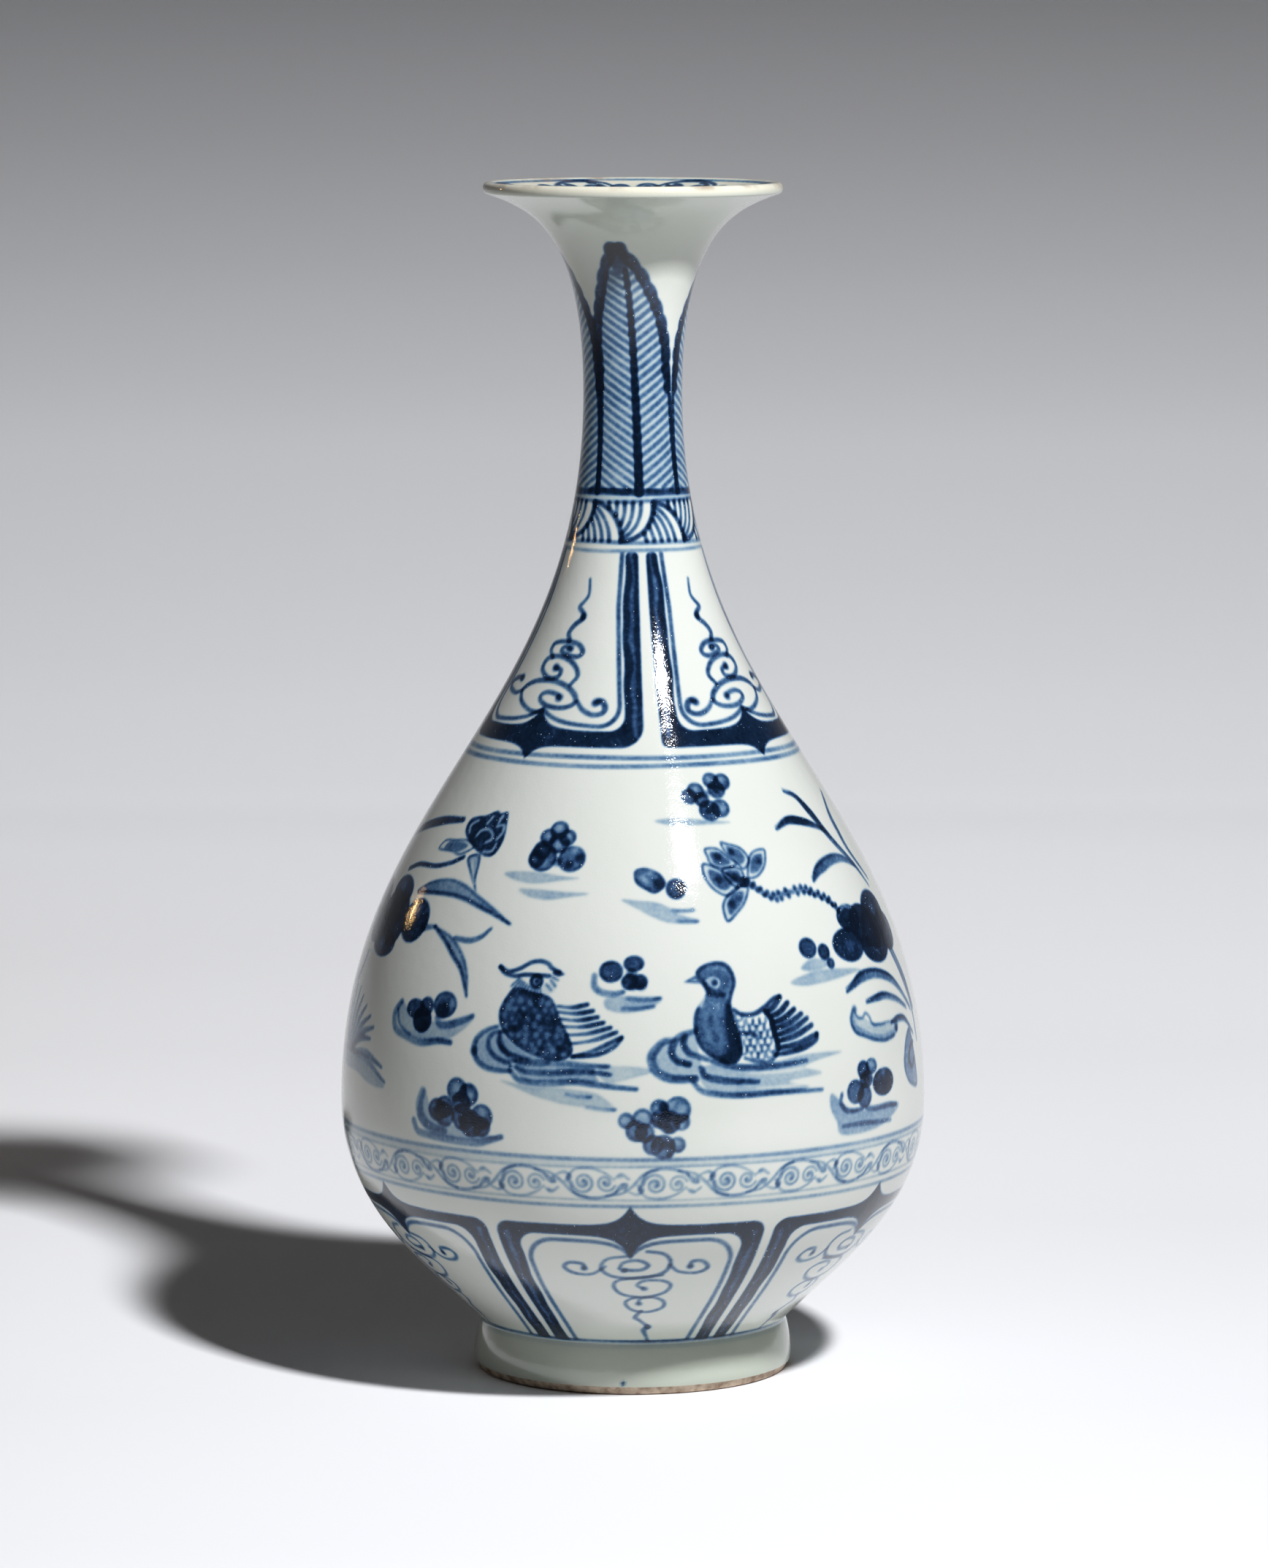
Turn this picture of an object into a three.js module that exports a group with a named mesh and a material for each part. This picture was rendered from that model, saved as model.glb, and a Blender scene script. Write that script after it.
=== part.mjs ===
// Pear-shaped porcelain vase with a trumpet mouth and a low, slightly flared foot ring.
// Millimetres, +Z up, origin at the centre of the plane that the foot ring stands on.
// The clay body was thrown in sections and luted together with slip. It was then glazed on three
// separate occasions: poured inside, dipped outside, and brushed into the well under the foot.
import * as THREE from "three";

// Driving dimensions of the glazed vase
const overallHeight = 298;
const lipRadius = 37.5;
const throatRadius = 12.35;
const trumpetHeight = 52.5;
const bellyRadius = 73.4;
const bellyHeight = 68.5;
const waistRadius = 38.6;
const footHeight = 13.2;
const footRadius = 40.2;

// Walls of the clay
const lipWall = 3.0;
const neckWall = 3.4;
const bellyWall = 4.6;
const floorThickness = 6.0;
const floorRadius = 26;
const floorSlope = THREE.MathUtils.degToRad(7);

// Foot ring: its wall under the bowl, the edge it stands on and the height where it is widest
const footRingWall = 6.8;
const contactWidth = 4.4;
const footUndercut = 2.4;
const footBulgeHeight = 5.0;

// Glaze: its thickness, and the bare bands that were wiped clean above the contact edge
const glazeThickness = 0.35;
const bareBandOutside = 2.2;
const bareBandInWell = 1.4;

// Where the thrown sections are luted together, and the ridge of slip left inside each joint
const bodyJointAboveBelly = 15.5;
const shoulderJointBelowThroat = 69.5;
const neckJointAboveThroat = 16.5;
const luteRidge = 0.7;

// Fullness of the curves: the share of each rise over which the profile keeps a station's direction
const bellyLowerFullness = 0.497;
const bellyUpperFullness = 0.432;
const throatLowerFullness = 0.463;
const throatUpperFullness = 0.83;
const waistFullness = 0.344;
const lipFullness = 0.232;
const waistSlope = THREE.MathUtils.degToRad(46);
const lipSlope = THREE.MathUtils.degToRad(19.5);

// Facets: steps round the axis, and along each stretch of the profile
const aroundCount = 40;
const footCount = 5;
const bowlCount = 6;
const hipCount = 1;
const shoulderCount = 5;
const neckCount = 4;
const throatCount = 1;
const mouthCount = 5;
const lipCount = 3;

const porcelainClay = new THREE.MeshStandardMaterial({ color: 0xe6ddd0, roughness: 0.8, metalness: 0 });
const clearGlaze = new THREE.MeshStandardMaterial({ color: 0xe3e8e4, roughness: 0.12, metalness: 0 });

const point = (radius, height) => new THREE.Vector2(radius, height);

// Two curves of the clay, outside and inside, follow the same stations at different radii.
function wallCurves(lip, throat, belly, base, baseSlope) {
  const bowlRise = belly.y - base.y;
  const pearRise = throat.y - belly.y;
  const trumpetRise = lip.y - throat.y;
  const lipDirection = point(Math.cos(lipSlope), Math.sin(lipSlope));
  const baseDirection = point(Math.cos(baseSlope), Math.sin(baseSlope));
  const throatUp = point(throat.x, throat.y + throatUpperFullness * trumpetRise);
  const throatDown = point(throat.x, throat.y - throatLowerFullness * pearRise);
  const bellyUp = point(belly.x, belly.y + bellyUpperFullness * pearRise);
  const bellyDown = point(belly.x, belly.y - bellyLowerFullness * bowlRise);
  const lipInward = lip.clone().addScaledVector(lipDirection, -lipFullness * trumpetRise);
  const baseHandle = base.clone().addScaledVector(baseDirection, waistFullness * bowlRise);
  return {
    bowl: new THREE.CubicBezierCurve(base, baseHandle, bellyDown, belly),
    pear: new THREE.CubicBezierCurve(belly, bellyUp, throatDown, throat),
    trumpet: new THREE.CubicBezierCurve(throat, throatUp, lipInward, lip),
  };
}

// The heights of these curves only ever rise, so a height names one place on them.
function parameterAtHeight(curve, height) {
  let low = 0;
  let high = 1;
  for (let step = 0; step < 50; step += 1) {
    const middle = (low + high) / 2;
    if (curve.getPoint(middle).y < height) {
      low = middle;
    } else {
      high = middle;
    }
  }
  return (low + high) / 2;
}

function stretch(curve, fromHeight, toHeight, steps) {
  const from = parameterAtHeight(curve, fromHeight);
  const to = parameterAtHeight(curve, toHeight);
  const points = [];
  for (let step = 0; step <= steps; step += 1) {
    points.push(curve.getPoint(from + ((to - from) * step) / steps));
  }
  points[0].y = fromHeight;
  points[steps].y = toHeight;
  return points;
}

const throatHeight = overallHeight - trumpetHeight;
const bodyJointHeight = bellyHeight + bodyJointAboveBelly;
const shoulderJointHeight = throatHeight - shoulderJointBelowThroat;
const neckJointHeight = throatHeight + neckJointAboveThroat;
const clayHeight = overallHeight - glazeThickness;
const clayLipRadius = lipRadius - glazeThickness;
const lipRoll = lipWall / 2;
const lipUnderside = clayHeight - 2 * lipRoll;
const floorHeight = footHeight + floorThickness;

const outside = wallCurves(
  point(clayLipRadius - lipRoll / 2, lipUnderside + lipRoll / 6),
  point(throatRadius - glazeThickness, throatHeight),
  point(bellyRadius - glazeThickness, bellyHeight),
  point(waistRadius - glazeThickness, footHeight),
  waistSlope,
);
const crest = point(clayLipRadius - lipRoll, clayHeight);
const insideLip = point(crest.x - lipRoll, clayHeight - lipRoll / 2);
const inside = wallCurves(
  insideLip,
  point(throatRadius - neckWall, throatHeight + neckWall),
  point(bellyRadius - bellyWall, bellyHeight),
  point(floorRadius, floorHeight),
  floorSlope,
);

// Clay of the outside, from the foot's contact edge up to the crest of the lip
const footClayRadius = footRadius - glazeThickness;
const contactOuterRadius = footRadius - footUndercut;
const footOutside = new THREE.CubicBezierCurve(
  point(contactOuterRadius, 0),
  point(footClayRadius, bareBandOutside / 2),
  point(footClayRadius, footBulgeHeight),
  point(footClayRadius - glazeThickness / 2, footBulgeHeight + glazeThickness),
).getPoints(footCount);
footOutside.push(point(waistRadius - glazeThickness, footHeight));
const bowlOutside = stretch(outside.bowl, footHeight, bellyHeight, bowlCount);
const hipOutside = stretch(outside.pear, bellyHeight, bodyJointHeight, hipCount);
const shoulderOutside = stretch(outside.pear, bodyJointHeight, shoulderJointHeight, shoulderCount);
const neckOutside = stretch(outside.pear, shoulderJointHeight, throatHeight, neckCount);
const throatOutside = stretch(outside.trumpet, throatHeight, neckJointHeight, throatCount);
const mouthOutside = stretch(outside.trumpet, neckJointHeight, outside.trumpet.v3.y, mouthCount);
const lipOutside = new THREE.CubicBezierCurve(
  outside.trumpet.v3,
  point(clayLipRadius, outside.trumpet.v3.y + lipRoll / 3),
  point(clayLipRadius, clayHeight),
  crest,
).getPoints(lipCount);

// Clay of the inside, from the middle of the floor up to the crest of the lip
const floorInside = [point(0, floorHeight), point(floorRadius / 2, floorHeight)];
const bowlInside = stretch(inside.bowl, floorHeight, bellyHeight, bowlCount);
const hipInside = stretch(inside.pear, bellyHeight, bodyJointHeight, hipCount);
const shoulderInside = stretch(inside.pear, bodyJointHeight, shoulderJointHeight, shoulderCount);
const neckTop = throatHeight + neckWall;
const neckInside = stretch(inside.pear, shoulderJointHeight, neckTop, neckCount);
const throatInside = stretch(inside.trumpet, neckTop, neckJointHeight, throatCount);
const mouthInside = stretch(inside.trumpet, neckJointHeight, insideLip.y, mouthCount);
const lipInside = new THREE.QuadraticBezierCurve(
  insideLip,
  point(insideLip.x + lipRoll / 2, clayHeight),
  crest,
).getPoints(2);

// Each luted joint leaves a low ridge of slip on the inside wall
function raiseRidge(below, above) {
  const height = above[0].y;
  const radius = above[0].x - luteRidge;
  below[below.length - 1].set(radius, height);
  above[0].set(radius, height);
}
raiseRidge(hipInside, shoulderInside);
raiseRidge(shoulderInside, neckInside);
raiseRidge(throatInside, mouthInside);

// Stretches meet end to end, so each one after the first drops its first point
function join(...stretches) {
  return stretches.flatMap((points, index) => (index === 0 ? points : points.slice(1)));
}

// A skin of glaze has the clay's own surface on one side and a copy of it, one thickness out, on the other
function glazeSurface(clay, side) {
  return clay.map((here, index) => {
    const before = clay[Math.max(index - 1, 0)];
    const after = clay[Math.min(index + 1, clay.length - 1)];
    const along = after.clone().sub(before).normalize();
    const outward = point(along.y, -along.x).multiplyScalar(side * glazeThickness);
    return here.clone().add(outward);
  });
}

function revolve(name, outline, material) {
  const geometry = new THREE.LatheGeometry(outline, aroundCount);
  geometry.rotateX(Math.PI / 2);
  const mesh = new THREE.Mesh(geometry, material);
  mesh.name = name;
  return mesh;
}

// A ring or tube of clay between an outside and an inside stretch that start and end level
function claySection(name, outer, inner) {
  return revolve(name, [...outer, ...inner.slice().reverse(), outer[0]], porcelainClay);
}

const contactInnerRadius = contactOuterRadius - contactWidth;
const wellRadius = waistRadius - footRingWall;
const wellWall = [
  point(contactInnerRadius, 0),
  point(contactInnerRadius, bareBandInWell),
  point(wellRadius, footHeight),
];
const footRing = claySection("foot_ring", footOutside, wellWall);

const lowerBodyInside = join(floorInside, bowlInside, hipInside);
const lowerBody = revolve(
  "lower_body",
  [point(0, footHeight), point(wellRadius, footHeight), ...join(bowlOutside, hipOutside),
    ...lowerBodyInside.slice().reverse()],
  porcelainClay,
);
const upperBody = claySection("upper_body", shoulderOutside, shoulderInside);
const neck = claySection("neck", join(neckOutside, throatOutside), join(neckInside, throatInside));
const mouthRim = claySection("mouth_rim", join(mouthOutside, lipOutside), join(mouthInside, lipInside));

// The outside glaze runs from above the bare contact edge to the crest of the lip
const glazedFoot = footOutside.filter((place) => place.y >= bareBandOutside - glazeThickness);
const clayUnderOuterGlaze = join(
  glazedFoot, bowlOutside, hipOutside, shoulderOutside, neckOutside, throatOutside, mouthOutside, lipOutside,
);
const outerGlazeFace = glazeSurface(clayUnderOuterGlaze, 1);
outerGlazeFace[outerGlazeFace.length - 1].set(crest.x, overallHeight);
const outerGlaze = revolve(
  "outer_glaze",
  [...outerGlazeFace, ...clayUnderOuterGlaze.slice().reverse(), outerGlazeFace[0]],
  clearGlaze,
);

// The inside glaze was poured in and out, and covers the floor, the wall and the inner half of the lip
const clayUnderInnerGlaze = join(
  floorInside, bowlInside, hipInside, shoulderInside, neckInside, throatInside, mouthInside, lipInside,
);
const innerGlazeFace = glazeSurface(clayUnderInnerGlaze, -1);
innerGlazeFace[0].set(0, floorHeight + glazeThickness);
innerGlazeFace[innerGlazeFace.length - 1].set(crest.x, overallHeight);
const innerGlaze = revolve("inner_glaze", [...clayUnderInnerGlaze, ...innerGlazeFace.slice().reverse()], clearGlaze);

// The glaze in the well under the foot stops short of the contact edge
const wellSurface = [wellWall[1], wellWall[2], point(0, footHeight)];
const wellGlazeFace = [
  point(wellWall[1].x - glazeThickness, wellWall[1].y),
  point(wellRadius - glazeThickness, footHeight - glazeThickness),
  point(0, footHeight - glazeThickness),
];
const footWellGlaze = revolve(
  "foot_well_glaze",
  [wellGlazeFace[2], wellGlazeFace[1], wellGlazeFace[0], ...wellSurface],
  clearGlaze,
);

const vase = new THREE.Group();
vase.name = "vase";
vase.add(mouthRim, neck, upperBody, lowerBody, footRing, outerGlaze, innerGlaze, footWellGlaze);

export default vase;
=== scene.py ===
import math

import bmesh
import bpy
import numpy as np
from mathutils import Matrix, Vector


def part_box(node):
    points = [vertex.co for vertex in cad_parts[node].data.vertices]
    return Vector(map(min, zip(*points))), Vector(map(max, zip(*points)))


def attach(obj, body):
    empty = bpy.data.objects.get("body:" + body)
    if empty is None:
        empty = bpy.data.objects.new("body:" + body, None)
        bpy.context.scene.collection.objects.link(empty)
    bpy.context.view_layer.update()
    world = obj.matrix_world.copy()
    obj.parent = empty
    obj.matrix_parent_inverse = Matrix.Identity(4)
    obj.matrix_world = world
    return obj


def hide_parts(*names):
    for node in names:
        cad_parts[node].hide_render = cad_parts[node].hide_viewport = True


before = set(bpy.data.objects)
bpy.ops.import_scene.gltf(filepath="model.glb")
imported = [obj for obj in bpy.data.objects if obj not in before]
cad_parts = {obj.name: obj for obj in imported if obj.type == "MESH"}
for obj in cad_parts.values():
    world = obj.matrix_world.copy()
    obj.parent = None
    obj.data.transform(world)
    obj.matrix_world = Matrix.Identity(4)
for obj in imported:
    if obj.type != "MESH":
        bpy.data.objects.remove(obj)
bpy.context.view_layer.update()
scene = bpy.context.scene
scene.view_settings.view_transform = "Standard"

# The view: a long lens a little above the mouth, so the lip is almost edge-on and the foot shows
# its round front. The picture is 1736 by 2146 and the lens was fitted to the vase's outline in it.
picture_height = 2146
camera_aside = 0.0003
camera_distance = 1.706
camera_height = 0.3544
camera_pitch = 0.1206
focal_pixels = 9390.0
sensor_height = 36.0

camera_data = bpy.data.cameras.new("camera")
camera_data.sensor_fit = "VERTICAL"
camera_data.sensor_height = sensor_height
camera_data.lens = focal_pixels / picture_height * sensor_height
camera = bpy.data.objects.new("camera", camera_data)
camera.location = (camera_aside, -camera_distance, camera_height)
camera.rotation_euler = (math.radians(90) - camera_pitch, 0, 0)
scene.collection.objects.link(camera)
scene.camera = camera

# The table: one pale sheet that lies level under the vase and sweeps up behind it. It is stage,
# not part of the vase. The lamp stands near the vase and leaves the far end of the sheet dark, so
# seen directly the sheet is a few times paler there, and soft grey again where it rises. Close to
# the vase it is a little paler on the left, which is the side away from the lamp.
sheet_half_width = 4.0
sheet_front = -4.0
sheet_bend = 1.1
sheet_radius = 0.9
sheet_bend_steps = 16
sheet_top = 3.2
paper_white = 0.87
seen_front = -0.3
seen_back = 1.9
seen_most = 3.3
seen_tones = (
    (-0.2, 0.8), (-0.05, 0.86), (0.1, 0.99), (0.2, 1.09), (0.5, 1.6), (0.75, 2.2),
    (1.0, 2.85), (1.15, 3.1), (1.3, 2.9), (1.55, 2.35), (1.65, 1.8), (1.8, 0.85),
)
seen_tint = (0.98, 0.99, 1.03)
seen_side = 0.16
seen_left_gain = 0.14
seen_right_gain = -0.04
seen_near = 0.15
seen_far = 0.7

sheet_profile = [(sheet_front, 0.0), (sheet_bend, 0.0)]
for step in range(1, sheet_bend_steps + 1):
    bend = math.radians(90) * step / sheet_bend_steps
    sheet_profile.append((sheet_bend + sheet_radius * math.sin(bend), sheet_radius * (1 - math.cos(bend))))
sheet_profile.append((sheet_bend + sheet_radius, sheet_top))
sheet_points = [(side * sheet_half_width, y, z) for y, z in sheet_profile for side in (-1, 1)]
sheet_faces = [(2 * i, 2 * i + 1, 2 * i + 3, 2 * i + 2) for i in range(len(sheet_profile) - 1)]
sheet_mesh = bpy.data.meshes.new("table_sheet")
sheet_mesh.from_pydata(sheet_points, [], sheet_faces)
for face in sheet_mesh.polygons:
    face.use_smooth = True
sheet = bpy.data.objects.new("table_sheet", sheet_mesh)
scene.collection.objects.link(sheet)


def node(tree, kind, inputs, **settings):
    """Adds one node, its inputs set to values or joined to other nodes' outputs."""
    made = tree.nodes.new(kind)
    for setting, value in settings.items():
        setattr(made, setting, value)
    for key, value in inputs.items():
        if isinstance(value, bpy.types.NodeSocket):
            tree.links.new(value, made.inputs[key])
        else:
            made.inputs[key].default_value = value
    return made


def mixed(tree, share, first, second, blend="MIX"):
    """The colour between two colours, as an output socket."""
    mix = node(tree, "ShaderNodeMix", {0: share, 6: first, 7: second}, data_type="RGBA", blend_type=blend)
    return mix.outputs[2]


def graded(tree, share, stops):
    """The colour at this share of a ramp whose stops are positions and colours, as an output socket."""
    ramp = node(tree, "ShaderNodeValToRGB", {"Fac": share})
    while len(ramp.color_ramp.elements) < len(stops):
        ramp.color_ramp.elements.new(0.5)
    for element, (position, colour) in zip(ramp.color_ramp.elements, stops):
        element.position = position
        element.color = (*colour, 1)
    return ramp.outputs["Color"]


def new_finish(name, values):
    """A new material with these values on its shader, and its tree and shader."""
    made = bpy.data.materials.new(name)
    made.use_nodes = True
    shader = made.node_tree.nodes["Principled BSDF"]
    for socket, value in values.items():
        shader.inputs[socket].default_value = value
    return made, made.node_tree, shader


sheet_paper, paper_tree, paper_shader = new_finish("table_sheet", {
    "Base Color": (paper_white, paper_white, paper_white, 1), "Roughness": 0.6, "Specular IOR Level": 0.3})
paper_place = node(paper_tree, "ShaderNodeTexCoord", {})
paper_split = node(paper_tree, "ShaderNodeSeparateXYZ", {0: paper_place.outputs["Object"]})
paper_depth = node(paper_tree, "ShaderNodeMapRange", {
    "Value": paper_split.outputs["Y"], "From Min": seen_front, "From Max": seen_back})
paper_stops = [
    ((depth - seen_front) / (seen_back - seen_front), [tone / seen_most * tint for tint in seen_tint])
    for depth, tone in seen_tones
]
paper_tone = graded(paper_tree, paper_depth.outputs["Result"], paper_stops)
paper_side = node(paper_tree, "ShaderNodeMapRange", {
    "Value": paper_split.outputs["X"], "From Min": -seen_side, "From Max": seen_side,
    "To Min": seen_most * seen_left_gain, "To Max": seen_most * seen_right_gain})
paper_near = node(paper_tree, "ShaderNodeMapRange", {
    "Value": paper_split.outputs["Y"], "From Min": seen_near, "From Max": seen_far, "To Min": 1, "To Max": 0})
paper_scale = node(paper_tree, "ShaderNodeMath", {
    0: paper_side.outputs["Result"], 1: paper_near.outputs["Result"], 2: seen_most}, operation="MULTIPLY_ADD")
paper_gain = node(paper_tree, "ShaderNodeVectorMath", {
    0: paper_tone, "Scale": paper_scale.outputs[0]}, operation="SCALE")
paper_seen = node(paper_tree, "ShaderNodeBsdfDiffuse", {"Color": paper_gain.outputs["Vector"]})
paper_ray = node(paper_tree, "ShaderNodeLightPath", {})
paper_direct = node(paper_tree, "ShaderNodeMath", {
    0: paper_ray.outputs["Is Camera Ray"], 1: paper_ray.outputs["Is Glossy Ray"]}, operation="MAXIMUM")
paper_mix = node(paper_tree, "ShaderNodeMixShader", {
    0: paper_direct.outputs[0], 1: paper_shader.outputs["BSDF"], 2: paper_seen.outputs["BSDF"]})
paper_tree.links.new(paper_mix.outputs["Shader"], paper_tree.nodes["Material Output"].inputs["Surface"])
sheet_mesh.materials.append(sheet_paper)

# The lamps: one small softbox near the vase, high at the right front, is nearly all the light. It
# leaves a streak on the shoulder, more light on the shoulder than on the foot, and a dark shadow.
# A small warm lamp behind the left side is only there for its glint on the belly.
lamp_aim = Vector((0, 0, 0.12))
sky_colour = (0.92, 0.95, 1.0, 1)
sky_strength = 0.022


def softbox(name, turn, rise, distance, width, height, watts, colour=(1, 1, 1)):
    """A lamp placed by its turn to the right, its rise and its distance, in degrees and metres."""
    across, up = math.radians(turn), math.radians(rise)
    away = Vector((math.cos(up) * math.sin(across), -math.cos(up) * math.cos(across), math.sin(up)))
    data = bpy.data.lights.new(name, "AREA")
    data.shape = "RECTANGLE"
    data.size = width
    data.size_y = height
    data.energy = watts
    data.color = colour
    lamp = bpy.data.objects.new(name, data)
    lamp.location = lamp_aim + away * distance
    lamp.rotation_euler = (-away).to_track_quat("-Z", "Y").to_euler()
    lamp.visible_camera = False
    scene.collection.objects.link(lamp)


softbox("key_softbox", turn=33.4, rise=48.0, distance=1.017, width=0.08, height=0.08, watts=14.0)
softbox("warm_glint", turn=-121.2, rise=14.5, distance=1.04, width=0.016, height=0.04, watts=0.15,
        colour=(1.0, 0.6, 0.25))

world = bpy.data.worlds.new("studio")
world.use_nodes = True
world.node_tree.nodes["Background"].inputs["Color"].default_value = sky_colour
world.node_tree.nodes["Background"].inputs["Strength"].default_value = sky_strength
scene.world = world

# The clay: porcelain thrown in four sections that are luted together, on a turned foot ring. It
# shows only at the bare edge that the vase stands on, burnt to a dull brown in the kiln.
mm = 0.001
vase_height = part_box("outer_glaze")[1][2]
belly_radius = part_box("outer_glaze")[1][0]
belly_height = 68.5 * mm
throat_radius = 12.35 * mm
throat_height = 245.5 * mm
lip_radius = 37.5 * mm
lip_slope = math.radians(19.5)
waist_radius = 38.6 * mm
waist_slope = math.radians(46)
waist_reach = 19 * mm
bowl_fullness = 27.5 * mm
shoulder_fullness = 76.5 * mm
throat_ease = 82 * mm
trumpet_ease = 41.5 * mm
lip_reach = 11.6 * mm
foot_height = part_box("foot_ring")[1][2]
foot_radius = 40.2 * mm
contact_outer = 37.8 * mm
contact_inner = 33.4 * mm
well_radius = 31.8 * mm
well_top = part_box("foot_well_glaze")[1][2]
bare_band = 2.2 * mm
lip_wall = 3.0 * mm
neck_wall = 3.4 * mm
belly_wall = 4.6 * mm
floor_radius = 26 * mm
floor_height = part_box("inner_glaze")[0][2]
glaze_thickness = 0.35 * mm
body_joint = 84 * mm
shoulder_joint = 176 * mm
neck_joint = 262 * mm
clay_steps_around = 192
path_radius = 0.1


def bezier(start, start_handle, end_handle, end, steps):
    """Points along a cubic curve."""
    t = np.linspace(0, 1, steps + 1)[:, None]
    corners = [np.array(corner, float) for corner in (start, start_handle, end_handle, end)]
    weights = ((1 - t) ** 3, 3 * (1 - t) ** 2 * t, 3 * (1 - t) * t ** 2, t ** 3)
    return sum(weight * corner for weight, corner in zip(weights, corners))


def wall_profile(lip, throat, belly, base, base_handle):
    """Three long curves, from the base over the belly and the throat to the lip."""
    lip_handle = (lip[0] - lip_reach * math.cos(lip_slope), lip[1] - lip_reach * math.sin(lip_slope))
    bowl = bezier(base, base_handle, (belly[0], belly[1] - bowl_fullness), belly, steps=160)
    pear = bezier(belly, (belly[0], belly[1] + shoulder_fullness),
                  (throat[0], throat[1] - throat_ease), throat, steps=400)
    trumpet = bezier(throat, (throat[0], throat[1] + trumpet_ease), lip_handle, lip, steps=200)
    return np.vstack([bowl, pear[1:], trumpet[1:]])


def moved_left(outline, distance):
    """The outline moved to its left, which is towards the axis where it climbs."""
    along = np.gradient(outline, axis=0)
    along /= np.linalg.norm(along, axis=1)[:, None]
    return outline + np.stack([-along[:, 1], along[:, 0]], -1) * distance


def walked(outline):
    """How far along the outline each of its points is."""
    return np.concatenate([[0], np.cumsum(np.hypot(*np.diff(outline, axis=0).T))])


lip_roll = lip_wall / 2
crest_radius = lip_radius - lip_roll
lip_start = (lip_radius - lip_roll / 2, vase_height - 2 * lip_roll + lip_roll / 6)
foot_curve = bezier(
    (foot_radius - 0.35 * mm, bare_band),
    (foot_radius + 0.25 * mm, bare_band + 1.6 * mm),
    (foot_radius - 0.3 * mm, foot_height - 4.5 * mm),
    (waist_radius - 0.15 * mm, foot_height - 0.3 * mm),
    steps=30,
)
body_curve = wall_profile(
    lip_start,
    (throat_radius, throat_height),
    (belly_radius, belly_height),
    (waist_radius, foot_height),
    (waist_radius + waist_reach * math.cos(waist_slope), foot_height + waist_reach * math.sin(waist_slope)),
)
lip_curve = bezier(
    lip_start,
    (lip_radius, lip_start[1] + lip_roll / 3),
    (lip_radius, vase_height),
    (crest_radius, vase_height),
    steps=24,
)
outer_face = np.vstack([foot_curve, body_curve, lip_curve[1:]])
outer_clay = moved_left(outer_face, glaze_thickness)

clay_crest = (crest_radius, vase_height - glaze_thickness)
inner_lip = (clay_crest[0] - lip_roll, clay_crest[1] - lip_roll / 2)
hollow_curve = wall_profile(
    inner_lip,
    (throat_radius - neck_wall, throat_height + neck_wall),
    (belly_radius - belly_wall, belly_height),
    (floor_radius, floor_height),
    (floor_radius + waist_reach, floor_height + belly_wall / 2),
)
inner_roll = bezier(
    inner_lip,
    (inner_lip[0] + lip_roll / 2, clay_crest[1] - 0.1 * mm),
    (clay_crest[0] - 0.3 * mm, clay_crest[1]),
    clay_crest,
    steps=12,
)
floor_line = np.stack([np.linspace(0, floor_radius, 40, endpoint=False), np.full(40, floor_height)], -1)
inner_clay = np.vstack([floor_line, hollow_curve, inner_roll[1:]])
inner_face = moved_left(inner_clay, glaze_thickness)
inner_face[:, 1] = np.minimum(inner_face[:, 1], vase_height)


# Every ring of clay or glaze is turned by one tree: its section, laid flat, is swept round a circle.
ring_tree = bpy.data.node_groups.new("turned_ring", "GeometryNodeTree")
for socket_name, socket_kind in (("Section", "NodeSocketGeometry"), ("Steps Around", "NodeSocketInt"),
                                 ("Path Radius", "NodeSocketFloat"), ("Finish", "NodeSocketMaterial")):
    ring_tree.interface.new_socket(name=socket_name, in_out="INPUT", socket_type=socket_kind)
ring_tree.interface.new_socket(name="Ring", in_out="OUTPUT", socket_type="NodeSocketGeometry")
ring_input = {item.name: item.identifier for item in ring_tree.interface.items_tree if item.in_out == "INPUT"}

ring_in = node(ring_tree, "NodeGroupInput", {})
section_curve = node(ring_tree, "GeometryNodeMeshToCurve", {"Mesh": ring_in.outputs["Section"]})
path = node(ring_tree, "GeometryNodeCurvePrimitiveCircle", {
    "Resolution": ring_in.outputs["Steps Around"], "Radius": ring_in.outputs["Path Radius"]}, mode="RADIUS")
path_index = node(ring_tree, "GeometryNodeInputIndex", {})
path_share = node(ring_tree, "ShaderNodeMath", {0: path_index.outputs[0], 1: ring_in.outputs["Steps Around"]},
                  operation="DIVIDE")
path_turn = node(ring_tree, "ShaderNodeMath", {0: path_share.outputs[0], 1: 360.0, 2: 90.0},
                 operation="MULTIPLY_ADD")
path_named = node(ring_tree, "GeometryNodeStoreNamedAttribute",
                  {"Geometry": path.outputs["Curve"], "Name": "turn", "Value": path_turn.outputs[0]},
                  data_type="FLOAT", domain="POINT")
swept = node(ring_tree, "GeometryNodeCurveToMesh",
             {"Curve": path_named.outputs["Geometry"], "Profile Curve": section_curve.outputs["Curve"]})
joined = node(ring_tree, "GeometryNodeMergeByDistance", {"Geometry": swept.outputs["Mesh"], "Distance": 1e-7})
smooth = node(ring_tree, "GeometryNodeSetShadeSmooth", {"Geometry": joined.outputs["Geometry"]})
real = node(ring_tree, "GeometryNodeRealizeInstances", {"Geometry": smooth.outputs["Geometry"]})
finished = node(ring_tree, "GeometryNodeSetMaterial",
                {"Geometry": real.outputs["Geometry"], "Material": ring_in.outputs["Finish"]})
node(ring_tree, "NodeGroupOutput", {"Ring": finished.outputs["Geometry"]})


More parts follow.
